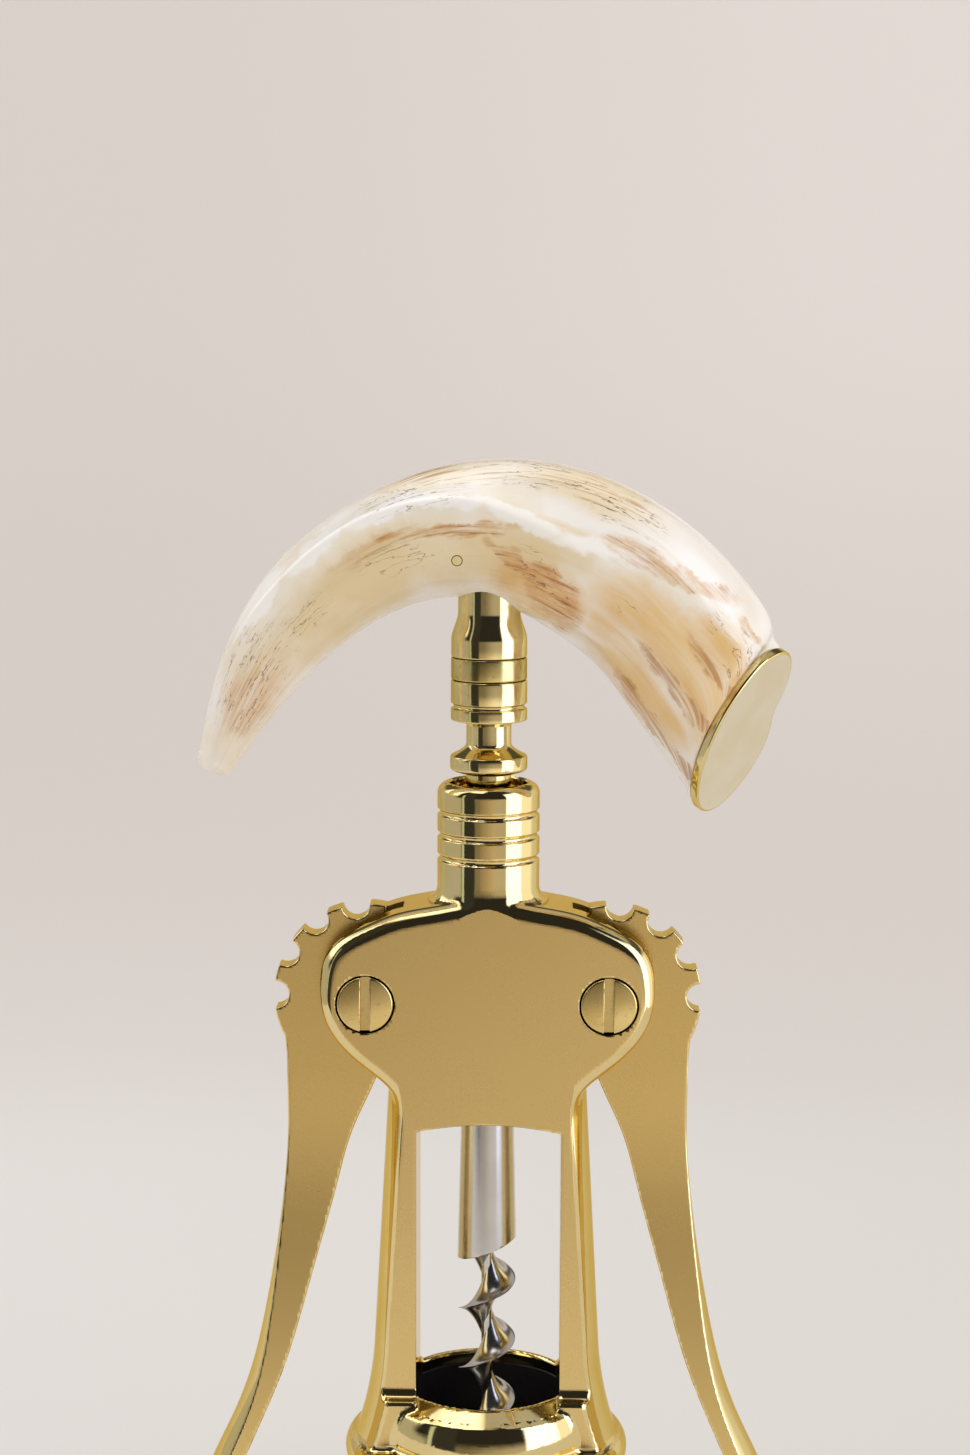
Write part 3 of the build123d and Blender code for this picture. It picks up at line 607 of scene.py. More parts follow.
def lathe(name, profile, material, segments=144, sharp=28.0):
    # Turns a closed (r, z) outline round the upright axis. Corners sharper
    # than the given angle keep their edge, and all others are smooth.
    pts = np.array(profile, float)
    pts = pts[np.hypot(*(pts - np.roll(pts, 1, 0)).T) > 1e-6]
    n, (r, z) = len(pts), pts.T
    edge = np.roll(pts, -1, 0) - pts
    edge /= np.hypot(edge[:, 0], edge[:, 1])[:, None]
    out = np.stack([edge[:, 1], -edge[:, 0]], 1)
    area = np.sum(r * np.roll(z, -1) - np.roll(r, -1) * z)
    if area < 0:
        out = -out
    prev = np.roll(out, 1, 0)
    bend = np.degrees(np.arccos(np.clip(np.sum(out * prev, 1), -1, 1)))
    soft = (out + prev) / np.maximum(np.hypot(*(out + prev).T), 1e-9)[:, None]
    first = np.where((bend > sharp)[:, None], out, soft)
    last = np.roll(np.where((bend > sharp)[:, None], prev, soft), -1, 0)
    turn = np.linspace(0, 2 * pi, segments, endpoint=False)
    c, s = np.cos(turn), np.sin(turn)
    verts = np.stack([np.outer(c, r), np.outer(s, r), np.tile(z, (segments, 1))], -1).reshape(-1, 3)
    # A point on the axis is one vertex, shared by all the segments
    on_axis = r < 1e-6
    name_of = np.where(on_axis, np.arange(n), np.arange(segments * n).reshape(segments, n))
    faces, normals = [], []
    for i in range(segments):
        j = (i + 1) % segments
        for k in range(n):
            m = (k + 1) % n
            if on_axis[k] and on_axis[m]:
                continue
            corners = [(i, k, first[k]), (j, k, first[k]), (j, m, last[k]), (i, m, last[k])]
            if on_axis[k]:
                corners = [corners[0], corners[2], corners[3]]
            elif on_axis[m]:
                corners = corners[:3]
            if area < 0:
                corners = corners[::-1]
            faces.append([int(name_of[a, b]) for a, b, _ in corners])
            normals += [(v[0] * c[a], v[0] * s[a], v[1]) for a, _, v in corners]
    used = sorted({v for f in faces for v in f})
    order = {v: i for i, v in enumerate(used)}
    obj = mesh_object(name, verts[used], [[order[v] for v in f] for f in faces], material)
    obj.data.normals_split_custom_set(normals)
    return obj


def grown(name, tree, values, material):
    # Runs a node tree on an empty mesh and keeps the result as a plain mesh
    seed = new_object(name + "_seed", bpy.data.meshes.new(name + "_seed"))
    modifier = seed.modifiers.new("grow", "NODES")
    modifier.node_group = tree
    for item in tree.interface.items_tree:
        if item.item_type == "SOCKET" and item.in_out == "INPUT" and item.name in values:
            modifier[item.identifier] = values[item.name]
    bpy.context.view_layer.update()
    result = bpy.data.meshes.new_from_object(seed.evaluated_get(bpy.context.evaluated_depsgraph_get()))
    bpy.data.objects.remove(seed)
    result.name = name
    if not result.materials:
        result.materials.append(material)
    return outward(new_object(name, result))


def node_group(name, floats, counts=()):
    # Empty geometry tree with named inputs and an output
    tree = bpy.data.node_groups.new(name, "GeometryNodeTree")
    for label in floats + counts:
        kind = "NodeSocketInt" if label in counts else "NodeSocketFloat"
        tree.interface.new_socket(label, in_out="INPUT", socket_type=kind)
    tree.interface.new_socket("Geometry", in_out="OUTPUT", socket_type="NodeSocketGeometry")
    return tree, add_node(tree, "NodeGroupInput")


def unit_grid(tree, across, along):
    # Grid and the share of the way along its two sides, for bending into a shape
    sides = {"Size_X": 1.0, "Size_Y": 1.0, "Vertices_X": across, "Vertices_Y": along}
    grid = add_node(tree, "GeometryNodeMeshGrid", **sides)
    share = add_node(tree, "ShaderNodeSeparateXYZ", Vector=grid["UV Map"])
    return grid["Mesh"], share[0], share[1]


def bent(tree, grid, radius, angle, height, near):
    # Puts the grid's points round the axis and merges those that meet
    place = {"i0": radius * angle.cosine(), "i1": radius * angle.sine(), "i2": height}
    spot = add_node(tree, "ShaderNodeCombineXYZ", **place)
    moved = add_node(tree, "GeometryNodeSetPosition", Geometry=grid, Position=spot)
    return add_node(tree, "GeometryNodeMergeByDistance", Geometry=moved, Distance=near)


def finish_group(tree, geometry, material):
    real = add_node(tree, "GeometryNodeRealizeInstances", Geometry=geometry)
    smooth = add_node(tree, "GeometryNodeSetShadeSmooth", Geometry=real)
    dressed = add_node(tree, "GeometryNodeSetMaterial", Geometry=smooth, Material=material)
    add_node(tree, "NodeGroupOutput", i0=dressed)
    return tree


def tube_faces(rows, n):
    # Faces of a tube of rows of n points, closed at its two ends by fans to
    # the two points that come after the rows
    first, last, rim = rows * n, rows * n + 1, (rows - 1) * n
    i, k = np.meshgrid(np.arange(rows - 1), np.arange(n), indexing="ij")
    m = (k + 1) % n
    faces = np.stack([i * n + k, i * n + m, (i + 1) * n + m, (i + 1) * n + k], -1).reshape(-1, 4).tolist()
    faces += [[first, (j + 1) % n, j] for j in range(n)]
    faces += [[last, rim + j, rim + (j + 1) % n] for j in range(n)]
    return faces


def place_piece(obj, body, slot, *nodes):
    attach(obj, body)
    if nodes:
        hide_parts(*nodes)
    return obj


# Frame

# Half outline of the cheeks: x and height over the pivots
CHEEK_POINTS = np.array(
    [(0, 19.4), (4, 18.9), (8, 18.1), (13, 17.2), (17.46, 16.1), (22.54, 13.95), (25.86, 12.2)]
    + [(28.51, 9.8), (29.99, 6.7), (30.39, 2.81), (29.9, -1.99), (28.6, -5.39), (26.61, -8.2)]
    + [(23.6, -11.2), (20.6, -13.59), (18.21, -15.69), (16.6, -17.9), (15.6, -20.8), (15.4, -24)]
)


def cheek_outline():
    knots = np.concatenate([[0], np.cumsum(np.hypot(*np.diff(CHEEK_POINTS, axis=0).T))])
    curve = spline(knots, CHEEK_POINTS)(np.linspace(0, knots[-1], 420))
    curve[:, 1] += PIVOT_Z
    return np.concatenate([curve, curve[::-1] * (-1, 1)])


def bell_outline():
    skirt, edge, foot, barrel, half = 21.6, 25.4, 23.2, 21.0, 2.8
    points = [(POCKET_R, 0.0)]
    points += arc(foot - 0.9, 0.9, 0.9, -90, 0, 8)
    points += arc(foot - 0.5, 2.1, 0.5, 0, 60, 5)
    points += arc(skirt + 0.8, 4.4, 0.8, 225, 180, 6)
    points += arc(skirt + 2.2, 16.8, -2.2, 0, -90, 14)
    points += [(edge - 0.6, FLANGE_Z - half)]
    points += arc(edge - 2.6, FLANGE_Z, 3.6, -47, 47, 24)
    points += [(edge - 0.8, FLANGE_Z + half)]
    points += arc(barrel + 1.2, FLANGE_Z + half + 1.2, 1.2, 270, 180, 8)
    # The barrel's upper half is domed a little, and its top slopes outwards
    dome, tilt, slope, shoulder, drop = 15.0, 24, 55.6, 19.155, 2.744
    points += arc(barrel - dome, LIP_Z - 8.6, dome, 0, tilt, 12)
    points += arc(shoulder, LIP_Z - drop, 0.6, tilt, slope, 6)
    points += arc(MOUTH_R + 0.7, LIP_Z - 0.7, 0.7, slope, 180, 10)
    points += [(MOUTH_R, THROAT_Z), (POCKET_R, THROAT_Z)]
    return points


CHEEK = Outline(cheek_outline())
BELL = Outline(bell_outline())


def flared_neck(y, z, r):
    # Neck whose foot flares into the saddle: tight at the sides, long in front
    side_flare, front_flare, foot_up, shoulder = 2.6, 10.0, 20.4, 2.1
    turned = np.clip((np.abs(y) / np.maximum(r, 1e-6) - 0.45) / 0.45, 0, 1)
    flare = side_flare + (front_flare - side_flare) * eased(turned)
    foot = z - (PIVOT_Z + foot_up + 0.8 * turned)
    u = r - NECK_R
    taper = 1.5 * np.maximum(-0.7 * flare - foot, 0)
    below = np.maximum(flare - np.hypot(np.maximum(flare - u, 0), foot), u - flare + taper)
    return both(np.where(foot > 0, u, below), z - NECK_TOP, shoulder)


def legs_blank(b, r, z):
    # Turned blank with a flared foot, milled flat in front and behind
    waist_r, waist_z, top_r, top_z = 20.95, 42.1, 18.0, 96.2
    slope = (waist_r - top_r) / (top_z - waist_z)
    lean = sqrt(1 + slope**2)
    straight = (r - (waist_r + (waist_z - z) * slope)) / lean
    flare_r = 64.7
    flare = flare_r - np.hypot(r - waist_r - flare_r / lean, z - waist_z - flare_r * slope / lean)
    turned = np.where(z > waist_z, straight, flare)
    # The milled faces end in a hollow over the bell
    hollow, ledge_deep, ledge_round = 2.0, 2.6, 0.9
    shelf = FACE_Y + hollow
    ledge = hollow - np.hypot(np.maximum(shelf - b, 0), LIP_Z + hollow - z)
    ledge = both(ledge, b - FACE_Y - ledge_deep, ledge_round)
    milled = np.where(z > LIP_Z + hollow, b - FACE_Y, ledge)
    return np.maximum(turned, FLANGE_Z - z), milled


def frame_field(x, y, z):
    a, b = np.abs(x), np.abs(y)
    r = np.hypot(x, y)
    # Polishing has left the cheeks a little crowned
    crowned = b + CROWN * (a / 30.0) ** 2
    # Their upper edge is rounded more than the rest
    edge = CHEEK_ROUND + 0.7 * eased((z - PIVOT_Z + 2.0) / 9.0)
    cheek = both(CHEEK(a, z), crowned - FACE_Y, edge)
    top = either(cheek, flared_neck(y, z, r), 0.5)
    neck_from, legs_to = PIVOT_Z + 12, PIVOT_Z - 4
    top = np.where(z > neck_from, top, cheek)
    turned, milled = legs_blank(crowned, r, z)
    legs = both(np.maximum(turned, z - legs_to), milled, 0.5)
    solid = np.maximum(either(top, legs, 1.0), milled)
    arch = ARCH_Z + ARCH_RISE * (1 - (a / WINDOW_X) ** 2)
    window = np.maximum(np.abs(x - WINDOW_SHIFT) - WINDOW_X, z - arch)
    solid = both(solid, -window, CUT_EDGE)
    solid = np.maximum(solid, -np.maximum(r - POCKET_R, z - THROAT_Z))
    solid = np.where(z < LIP_Z + 8, either(solid, BELL(r, z), 0.8), solid)
    # The rack's bore, with a bevel at its top, and the grooves round the neck
    solid = np.maximum(solid, -np.maximum(r - BORE_R, ARCH_Z - z))
    solid = np.maximum(solid, -(r - BORE_R - (z - NECK_TOP + 0.4)) / sqrt(2))
    for k in range(3):
        groove = np.hypot(r - NECK_R - GROOVE_OUT, z - NECK_TOP + GROOVE_DROP + k * GROOVE_PITCH)
        solid = both(solid, GROOVE_R - groove, CUT_EDGE)
    # Slots for the levers' heads, holes and counterbores for the screws
    hub = np.hypot(a - PIVOT_X, z - PIVOT_Z)
    solid = np.maximum(solid, -np.maximum(hub - SLOT_R, b - SLOT_Y))
    solid = np.maximum(solid, HOLE_R - hub)
    bore = np.maximum(hub - COUNTERBORE_R, FACE_Y - COUNTERBORE_DEEP - b)
    return both(solid, -bore, 0.12)


def both_sides(*runs):
    # Grid planes on one side of the middle and, mirrored, on the other
    side = np.concatenate([np.arange(*run) for run in runs])
    return np.concatenate([-side[::-1], side])


def make_frame():
    step = 0.68
    xs = cells(-31.6, 31.6, step)
    # Closer planes where the front and back edges of the castings are rounded
    ys = both_sides((0.3, 7.3, step), (7.5, 9.2, 0.4), (9.3, 10.12, 0.13), (10.4, 27.4, step))
    zs = np.concatenate([cells(-1.0, 131.0, step), cells(131.4, NECK_TOP + 0.8, 0.27)])
    obj = surface("frame_casting", frame_field, xs, ys, zs, POLISHED_BRASS)
    return place_piece(obj, "frame", "polished_brass", "frame")


# Levers

# Sections down the arm: drop from the pivot, outer and inner edge outwards
# from it, half width and crown of the outer side
ARM_SECTIONS = (
    (0.0, 18.0, -3.0, 2.45, 0.0),
    (4.6, 16.0, -3.0, 2.45, 0.02),
    (10.0, 15.0, -3.06, 2.45, 0.04),
    (16.0, 14.84, -1.43, 2.45, 0.06),
    (25.2, 14.79, 2.65, 2.45, 0.1),
    (35.2, 15.5, 5.51, 2.7, 0.2),
    (48.65, 17.24, 9.18, 3.67, 0.61),
    (60.2, 19.28, 12.34, 4.69, 1.22),
    (71.2, 21.83, 15.81, 5.71, 1.84),
    (81.2, 25.5, 19.99, 6.63, 2.35),
    (89.25, 29.27, 23.56, 7.24, 2.75),
    (102.0, 33.97, 29.48, 7.55, 2.86),
)
ARM = spline([s[0] for s in ARM_SECTIONS], [s[1:] for s in ARM_SECTIONS])
ARM_STEP = 0.1
ARM_TABLE = ARM(np.arange(0, LEVER_REACH + 3, ARM_STEP))


def lever_field(x, y, z):
    # Left lever: p runs outwards from the pivot and drop runs down
    p, drop, b = -x - PIVOT_X, PIVOT_Z - z, np.abs(y)
    at = np.clip(drop / ARM_STEP, 0, len(ARM_TABLE) - 2.001)
    i = at.astype(int)
    w = (at - i)[..., None]
    row = ARM_TABLE[i] * (1 - w) + ARM_TABLE[i + 1] * w
    tilt = (ARM_TABLE[i + 1] - ARM_TABLE[i]) / ARM_STEP
    outer, inner, wide, crown = (row[..., k] for k in range(4))
    outside = (p - outer + crown * (b / wide) ** 2) / np.sqrt(1 + tilt[..., 0] ** 2)
    within = (inner - p) / np.sqrt(1 + tilt[..., 1] ** 2)
    arm_from, gear_to, edge = 2.7, 13.0, 0.35
    arm = np.maximum(np.maximum(outside, within), arm_from - drop)
    hub = np.hypot(p, drop)
    gear = both(hub - GEAR_TIP, drop - gear_to, 1.0)
    for k in range(-1, 7):
        angle = radians((k + 0.5) * TOOTH_ANGLE)
        gullet = np.hypot(-p - GULLET_AT * cos(angle), -drop - GULLET_AT * sin(angle)) - GULLET_R
        gear = both(gear, -gullet, edge)
    solid = both(np.minimum(gear, arm), b - wide, edge)
    solid = both(solid, drop - LEVER_REACH, 2 * edge)
    return np.maximum(solid, HOLE_R - hub)


def make_levers():
    step = 0.46
    xs = cells(-PIVOT_X - 35.4, -PIVOT_X + 18.4, step)
    ys = both_sides((0.2, 1.9, step), (2.02, 2.55, 0.11), (2.8, 8.6, 0.4))
    zs = cells(PIVOT_Z - LEVER_REACH - 1, PIVOT_Z + 18.4, step)
    left = surface("left_lever_arm", lever_field, xs, ys, zs, LEVER_BRASS)
    right = mirrored(left, "right_lever_arm")
    place_piece(left, "left_lever", "polished_brass", "left_lever")
    place_piece(right, "right_lever", "polished_brass", "right_lever")


# Pivot screws


def screw_field(x, y, z):
    head_r, head_deep, bulge, shank_r, thread_r = 5.1, 2.6, 0.4, 3.0, 2.0
    nut_deep, slot_half, slot_deep = 2.6, 0.875, 1.1
    r = np.hypot(x + PIVOT_X, z - PIVOT_Z)
    dome = FACE_Y + bulge * (1 - (r / head_r) ** 2)
    head = both(both(r - head_r, -y - dome, 0.35), y + FACE_Y - head_deep)
    shank = np.maximum(r - shank_r, np.maximum(y - FACE_Y + nut_deep, -y - FACE_Y + 1.0))
    thread = np.maximum(r - thread_r, np.maximum(y - FACE_Y + 0.2, -y))
    slot = np.maximum(np.abs(x + PIVOT_X) - slot_half, y + FACE_Y - slot_deep)
    return both(np.minimum(np.minimum(head, shank), thread), -slot, 0.12)


def make_screws():
    step = 0.2
    xs = cells(-PIVOT_X - 5.6, -PIVOT_X + 5.4, step)
    ys, zs = cells(-FACE_Y - 0.8, FACE_Y + 0.4, step), cells(PIVOT_Z - 5.6, PIVOT_Z + 5.4, step)
    left = surface("left_screw", screw_field, xs, ys, zs, FACED_BRASS)
    right = mirrored(left, "right_screw")
    place_piece(left, "frame", "polished_brass", "left_pivot_screw")
    place_piece(right, "frame", "polished_brass", "right_pivot_screw")


# Stem


def rack_ring_tree():
    names = ("Pitch", "First", "Tip radius", "Root radius", "Land", "Base")
    tree, given = node_group("rack_rings", names, ("Count",))
    # The ring's outline is a grid strip bent round: u goes round the axis and
    # v goes once round the section
    grid, u, v = unit_grid(tree, 145, 25)
    around, swing = u * (2 * pi), v * (2 * pi)
    # A rounded trapezoid: blunt powers of cosine and sine
    c, s, blunt = swing.cosine(), swing.sine(), 0.3
    share = c.sign() * abs(c) ** blunt * 0.5 + 0.5
    root = given["Root radius"] - 0.0006
    radius = share * (given["Tip radius"] - root) + root
    half = share * ((given["Land"] - given["Base"]) * 0.5) + given["Base"] * 0.5
    height = s.sign() * abs(s) ** blunt * half
    ring = bent(tree, grid, radius, around, height, 1e-6)
    start = add_node(tree, "ShaderNodeCombineXYZ", i2=given["First"])
    step = add_node(tree, "ShaderNodeCombineXYZ", i2=given["Pitch"])
    places = {"Count": given["Count"], "Start_Location": start, "Offset": step}
    line = add_node(tree, "GeometryNodeMeshLine", {"mode": "OFFSET"}, **places)
    copies = add_node(tree, "GeometryNodeInstanceOnPoints", Points=line, Instance=ring)
    return finish_group(tree, copies, TURNED_BRASS)


def make_rack():
    rings = grown(
        "rack_rings",
        rack_ring_tree(),
        {
            "Pitch": RACK_PITCH * MM,
            "First": (PIVOT_Z - 0.5 * RACK_PITCH) * MM,
            "Count": 7,
            "Tip radius": RACK_TIP * MM,
            "Root radius": RACK_ROOT * MM,
            "Land": 2.7 * MM,
            "Base": 4.9 * MM,
        },
        TURNED_BRASS,
    )
    rings.data.set_sharp_from_angle(angle=radians(35))
    hub_r, hub_top, bevel = 4.9, HUB_Z + 15.2, 0.3
    profile = [(0.0, HUB_Z), (hub_r - bevel, HUB_Z), (hub_r, HUB_Z + bevel)]
    profile += [(hub_r, hub_top), (RACK_ROOT, hub_top)]
    # Cove from the top ring into the shaft, and a short cone under the head
    ring_z = PIVOT_Z + 5.5 * RACK_PITCH
    profile += [(RACK_ROOT, ring_z + 1.0), (6.9, ring_z + 1.3), (6.6, ring_z + 1.45)]
    cove_wide, cove_tall = 2.4, 2.0
    for s in np.linspace(0, 1, 12):
        profile += [(RACK_ROOT + cove_wide * (1 - s) ** 1.8, ring_z + 1.5 + cove_tall * s)]
    profile += [(RACK_ROOT, HEAD_Z - 0.9), (RACK_ROOT + 0.45, HEAD_Z - 0.35), (RACK_ROOT + 0.5, HEAD_Z)]
    corner, lip, groove = 0.35, 0.15, HEAD_Z + 2.7
    profile += arc(HEAD_R - corner, HEAD_Z + corner, corner, -90, 0, 6)
    profile += arc(HEAD_R - lip, groove - 0.62, lip, 0, 60, 3)
    profile += arc(HEAD_R, groove, -0.5, 60, -60, 9)
    profile += arc(HEAD_R - lip, groove + 0.62, lip, -60, 0, 3)
    profile += arc(HEAD_R - corner, RING_SEAT - corner, corner, 0, 90, 6)
    profile += [(0.0, RING_SEAT)]
    bar = lathe("rack_bar", profile, TURNED_BRASS)
    place_piece(join("rack_with_rings", [bar, rings]), "handle", "polished_brass", "rack")


def make_stem():
    hole_r, gap, corner = 2.56, 0.05, 0.3
    ring = [(hole_r, RING_SEAT + gap)]
    ring += arc(BAND_R - corner, RING_SEAT + 0.4, corner, -90, 0, 5)
    ring += arc(BAND_R - corner, FERRULE_Z - 0.4, corner, 0, 90, 5)
    ring += [(hole_r, FERRULE_Z - gap)]
    place_piece(lathe("knurled_lock_ring", ring, WORN_BRASS), "carriage", "polished_brass", "lock_ring")
    waist, band_tall, ogee_tall = 5.65, 3.0, 5.2
    profile = [(0.0, FERRULE_Z)]
    profile += arc(BAND_R - corner, FERRULE_Z + corner, corner, -90, 0, 5)
    for s in np.linspace(0, 1, 22):
        profile += [(BAND_R - (BAND_R - waist) * eased(s), FERRULE_Z + band_tall + ogee_tall * s)]
    profile += [(waist, FERRULE_TOP), (0.0, FERRULE_TOP)]
    place_piece(lathe("ogee_ferrule", profile, TURNED_BRASS), "handle", "polished_brass", "handle_ferrule")


def make_liner():
    inner, outer, stop_r, stop, chamfer = 15.6, POCKET_R - 0.1, 12.2, 17.0, 0.4
    profile = [(inner + chamfer, 0.0), (outer - chamfer, 0.0), (outer, chamfer), (outer, THROAT_Z)]
    profile += arc(MOUTH_R + 0.4, THROAT_Z - 0.4, 0.4, 90, 180, 6)
    profile += arc(MOUTH_R - 1.2, stop + 4.2, -1.2, 180, 225, 6)
    profile += arc(stop_r + 0.8, stop + 2.2, 0.8, 135, 180, 6)
    profile += arc(stop_r + 0.4, stop + 0.4, 0.4, 180, 270, 6)
    profile += [(inner, stop), (inner, chamfer)]
    place_piece(lathe("moulded_liner", profile, BLACK_PLASTIC), "frame", "black_plastic", "bell_liner")


# Worm

SHANK_LONG = 26.6
SHANK_R = 4.85
SHANK_FLARE = 0.6
END_DROP = 2.0
THREAD_Z = HUB_Z - SHANK_LONG
WORM_R = 5.35
WORM_CORE = 1.0
WORM_PITCH = 11.65
WORM_TURNS = 5
WORM_LENGTH = 43.0


def worm_tree():
    names = ("Pitch", "Turns", "Start", "Outer radius", "Core radius", "Root half", "Edge half")
    tree, given = node_group("auger_blade", names + ("Scoop", "Point", "Point length"))
    grid, u, v = unit_grid(tree, 421, 41)
    turn, rise = u * given["Turns"] * (2 * pi), u * given["Turns"] * given["Pitch"]
    # v runs out along the upper flank to the edge and back along the lower
    fold = v * 2.0 - 1.0
    out = 1.0 - abs(fold)
    root = given["Core radius"] - 0.0005
    radius = out * (given["Outer radius"] - root) + root
    half = (1.0 - out) ** given["Scoop"] * (given["Root half"] - given["Edge half"]) + given["Edge half"]
    side = (fold * -1.0).sign() * (out * 60.0).least(1.0)
    height = (given["Start"] + rise + half * side).largest(given["Point"])
    # The blade tapers to the point
    slope = given["Outer radius"] / given["Point length"]
    radius = radius.least((height - given["Point"]) * slope + 0.00005)
    blade = bent(tree, grid, radius, turn, height, 2e-6)
    return finish_group(tree, blade, GROUND_STEEL)


def make_worm():
    point = THREAD_Z - WORM_LENGTH
    # The last quarter turn runs into the shank
    start = THREAD_Z + 2.45 - (WORM_TURNS - 0.25) * WORM_PITCH
    blade = grown(
        "auger_blade",
        worm_tree(),
        {
            "Pitch": WORM_PITCH * MM,
            "Turns": float(WORM_TURNS),
            "Start": start * MM,
            "Outer radius": WORM_R * MM,
            "Core radius": WORM_CORE * MM,
            "Root half": WORM_PITCH / 2 * MM,
            "Edge half": 0.09 * MM,
            "Scoop": 2.3,
            "Point": point * MM,
            "Point length": 11.0 * MM,
        },
        GROUND_STEEL,
    )
    blade.data.set_sharp_from_angle(angle=radians(50))
    profile = [(0.0, point + 0.2), (WORM_CORE * 0.9, point + 4.4), (WORM_CORE, point + 6.0)]
    profile += [(WORM_CORE, THREAD_Z), (0.0, THREAD_Z)]
    core = lathe("auger_core", profile, GROUND_STEEL, 48)
    place_piece(join("auger_worm", [make_shank(), core, blade]), "handle", "turned_steel", "worm")


def shank_field(x, y, z):
    r = np.hypot(x, y)
    radius = SHANK_R + SHANK_FLARE * (HUB_Z - z) / SHANK_LONG
    # The lower end is cut askew, where the blade leaves it
    askew = END_DROP / (SHANK_R + SHANK_FLARE)
    end = (THREAD_Z + askew * x - z) / sqrt(1 + askew**2)
    body = both(both(r - radius, end, 0.2), z - HUB_Z)
    tang_r, tang_long = 3.0, 13.0
    tang = np.maximum(r - tang_r, np.maximum(z - HUB_Z - tang_long, HUB_Z - 2.0 - z))
    return np.minimum(body, tang)


def make_shank():
    xs = cells(-6.0, 6.0, 0.3)
    return surface("shank", shank_field, xs, xs, cells(THREAD_Z - 3.2, HUB_Z + 13.8, 0.5), STEEL)


# Tusk handle

TUSK_Z = FERRULE_TOP + 1.7
SPAN = 50.0
THICK = 15.0
# Sections from the tip: reach and rise in shares of the span, half height and
# half depth in shares of the thickness, and the way the tusk points
TUSK_SHARES = (
    (-0.996, -0.840, 0.240, 0.235, 52),
    (-0.833, -0.504, 0.498, 0.465, 57),
    (-0.684, -0.302, 0.613, 0.570, 43),
    (-0.465, -0.124, 0.685, 0.640, 27.6),
    (-0.208, -0.016, 0.767, 0.690, 12),
    (0.040, 0.0, 0.860, 0.730, -2),
    (0.274, -0.060, 0.960, 0.760, -17),
    (0.582, -0.250, 1.007, 0.795, -45),
    (0.692, -0.368, 1.013, 0.805, -55),
    (0.812, -0.548, 1.005, 0.800, -44),
)
TIP_LONG = 2.6
GIRTH_R = 12.0
CAP_THICK = 1.9
CAP_TURN = Matrix.Rotation(radians(-34.0), 3, "Z")
CAP_LOOK = Matrix.Rotation(radians(30.7), 3, "Y") @ CAP_TURN @ Vector((1, 0, 0))
CAP_LEVEL = CAP_TURN @ Vector((0, 1, 0))
CAP_UP = CAP_LOOK.cross(CAP_LEVEL)
CAP_AT = np.array([0.928 * SPAN, 0.0, TUSK_Z - 0.732 * SPAN])
ROUND_COUNT = 192
ROUND = np.linspace(0, 2 * pi, ROUND_COUNT, endpoint=False)
RIDGE_ANGLES = (118, 126, 135, 137, 152, 164, 176, 180)


def hump(at, middle, wide):
    # Bell curve of height 1 round a middle
    return np.exp(-(((at - middle) / wide) ** 2))


def cap_points(back, inset=0.0):
    # The broad end isn't a true oval: it has a hollow on its upper back side
    deep, tall = 11.3, 16.7
    turn = np.degrees(ROUND)
    hollow = hump((turn - 14 + 180) % 360, 180, 20)
    swell = hump((turn - 64 + 180) % 360, 180, 20)
    scale = 1 - 0.21 * hollow + 0.04 * swell
    u, v = deep * np.cos(ROUND) * scale, tall * np.sin(ROUND) * scale
    left = 1 - inset / np.hypot(u, v)
    across = (u * left)[:, None] * np.array(CAP_LEVEL) + (v * left)[:, None] * np.array(CAP_UP)
    return CAP_AT - np.array(CAP_LOOK) * back + across


def tusk_section(share):
    reach, rise, tall, deep, way = share
    w = radians(way)
    centre = np.array([reach * SPAN, 0.0, TUSK_Z + rise * SPAN])
    level, up = np.array([0.0, 1.0, 0.0]), np.array([-sin(w), 0.0, cos(w)])
    return centre + THICK * (np.outer(deep * np.cos(ROUND), level) + np.outer(tall * np.sin(ROUND), up))


def tusk_relief(at):
    # Soft ridge between the front and the upper face, and shallow flutes, as
    # the scale of each point of the rows. They fade out before the cap.
    share = at / at[-1]
    ridge = np.radians(np.interp(share, (0, 0.12, 0.24, 0.37, 0.505, 0.57, 0.66, 1), RIDGE_ANGLES))
    size = np.interp(share, (0, 0.1, 0.3, 0.5, 0.62, 0.75, 1), (0.03, 0.06, 0.08, 0.09, 0.07, 0.01, 0))
    off = (ROUND[None, :] - ridge[:, None] + pi) % (2 * pi) - pi
    crest = 0.6 * hump(off, 0, 0.2) + 0.4 * hump(off, 0, 0.09) - 0.6 * hump(off, -0.42, 0.26)
    flute = 0.010 * hump(share, 0.85, 0.16)[:, None] * np.sin(ROUND[None, :] * 9 + 3 * share[:, None])
    wave = 0.006 * np.sin(at / 9.0)[:, None] * np.sin(2 * ROUND[None, :] + at[:, None] / 17.0)
    fade = np.clip((1 - share) / 0.06, 0, 1)[:, None]
    return 1 + (size[:, None] * crest + flute + wave) * fade


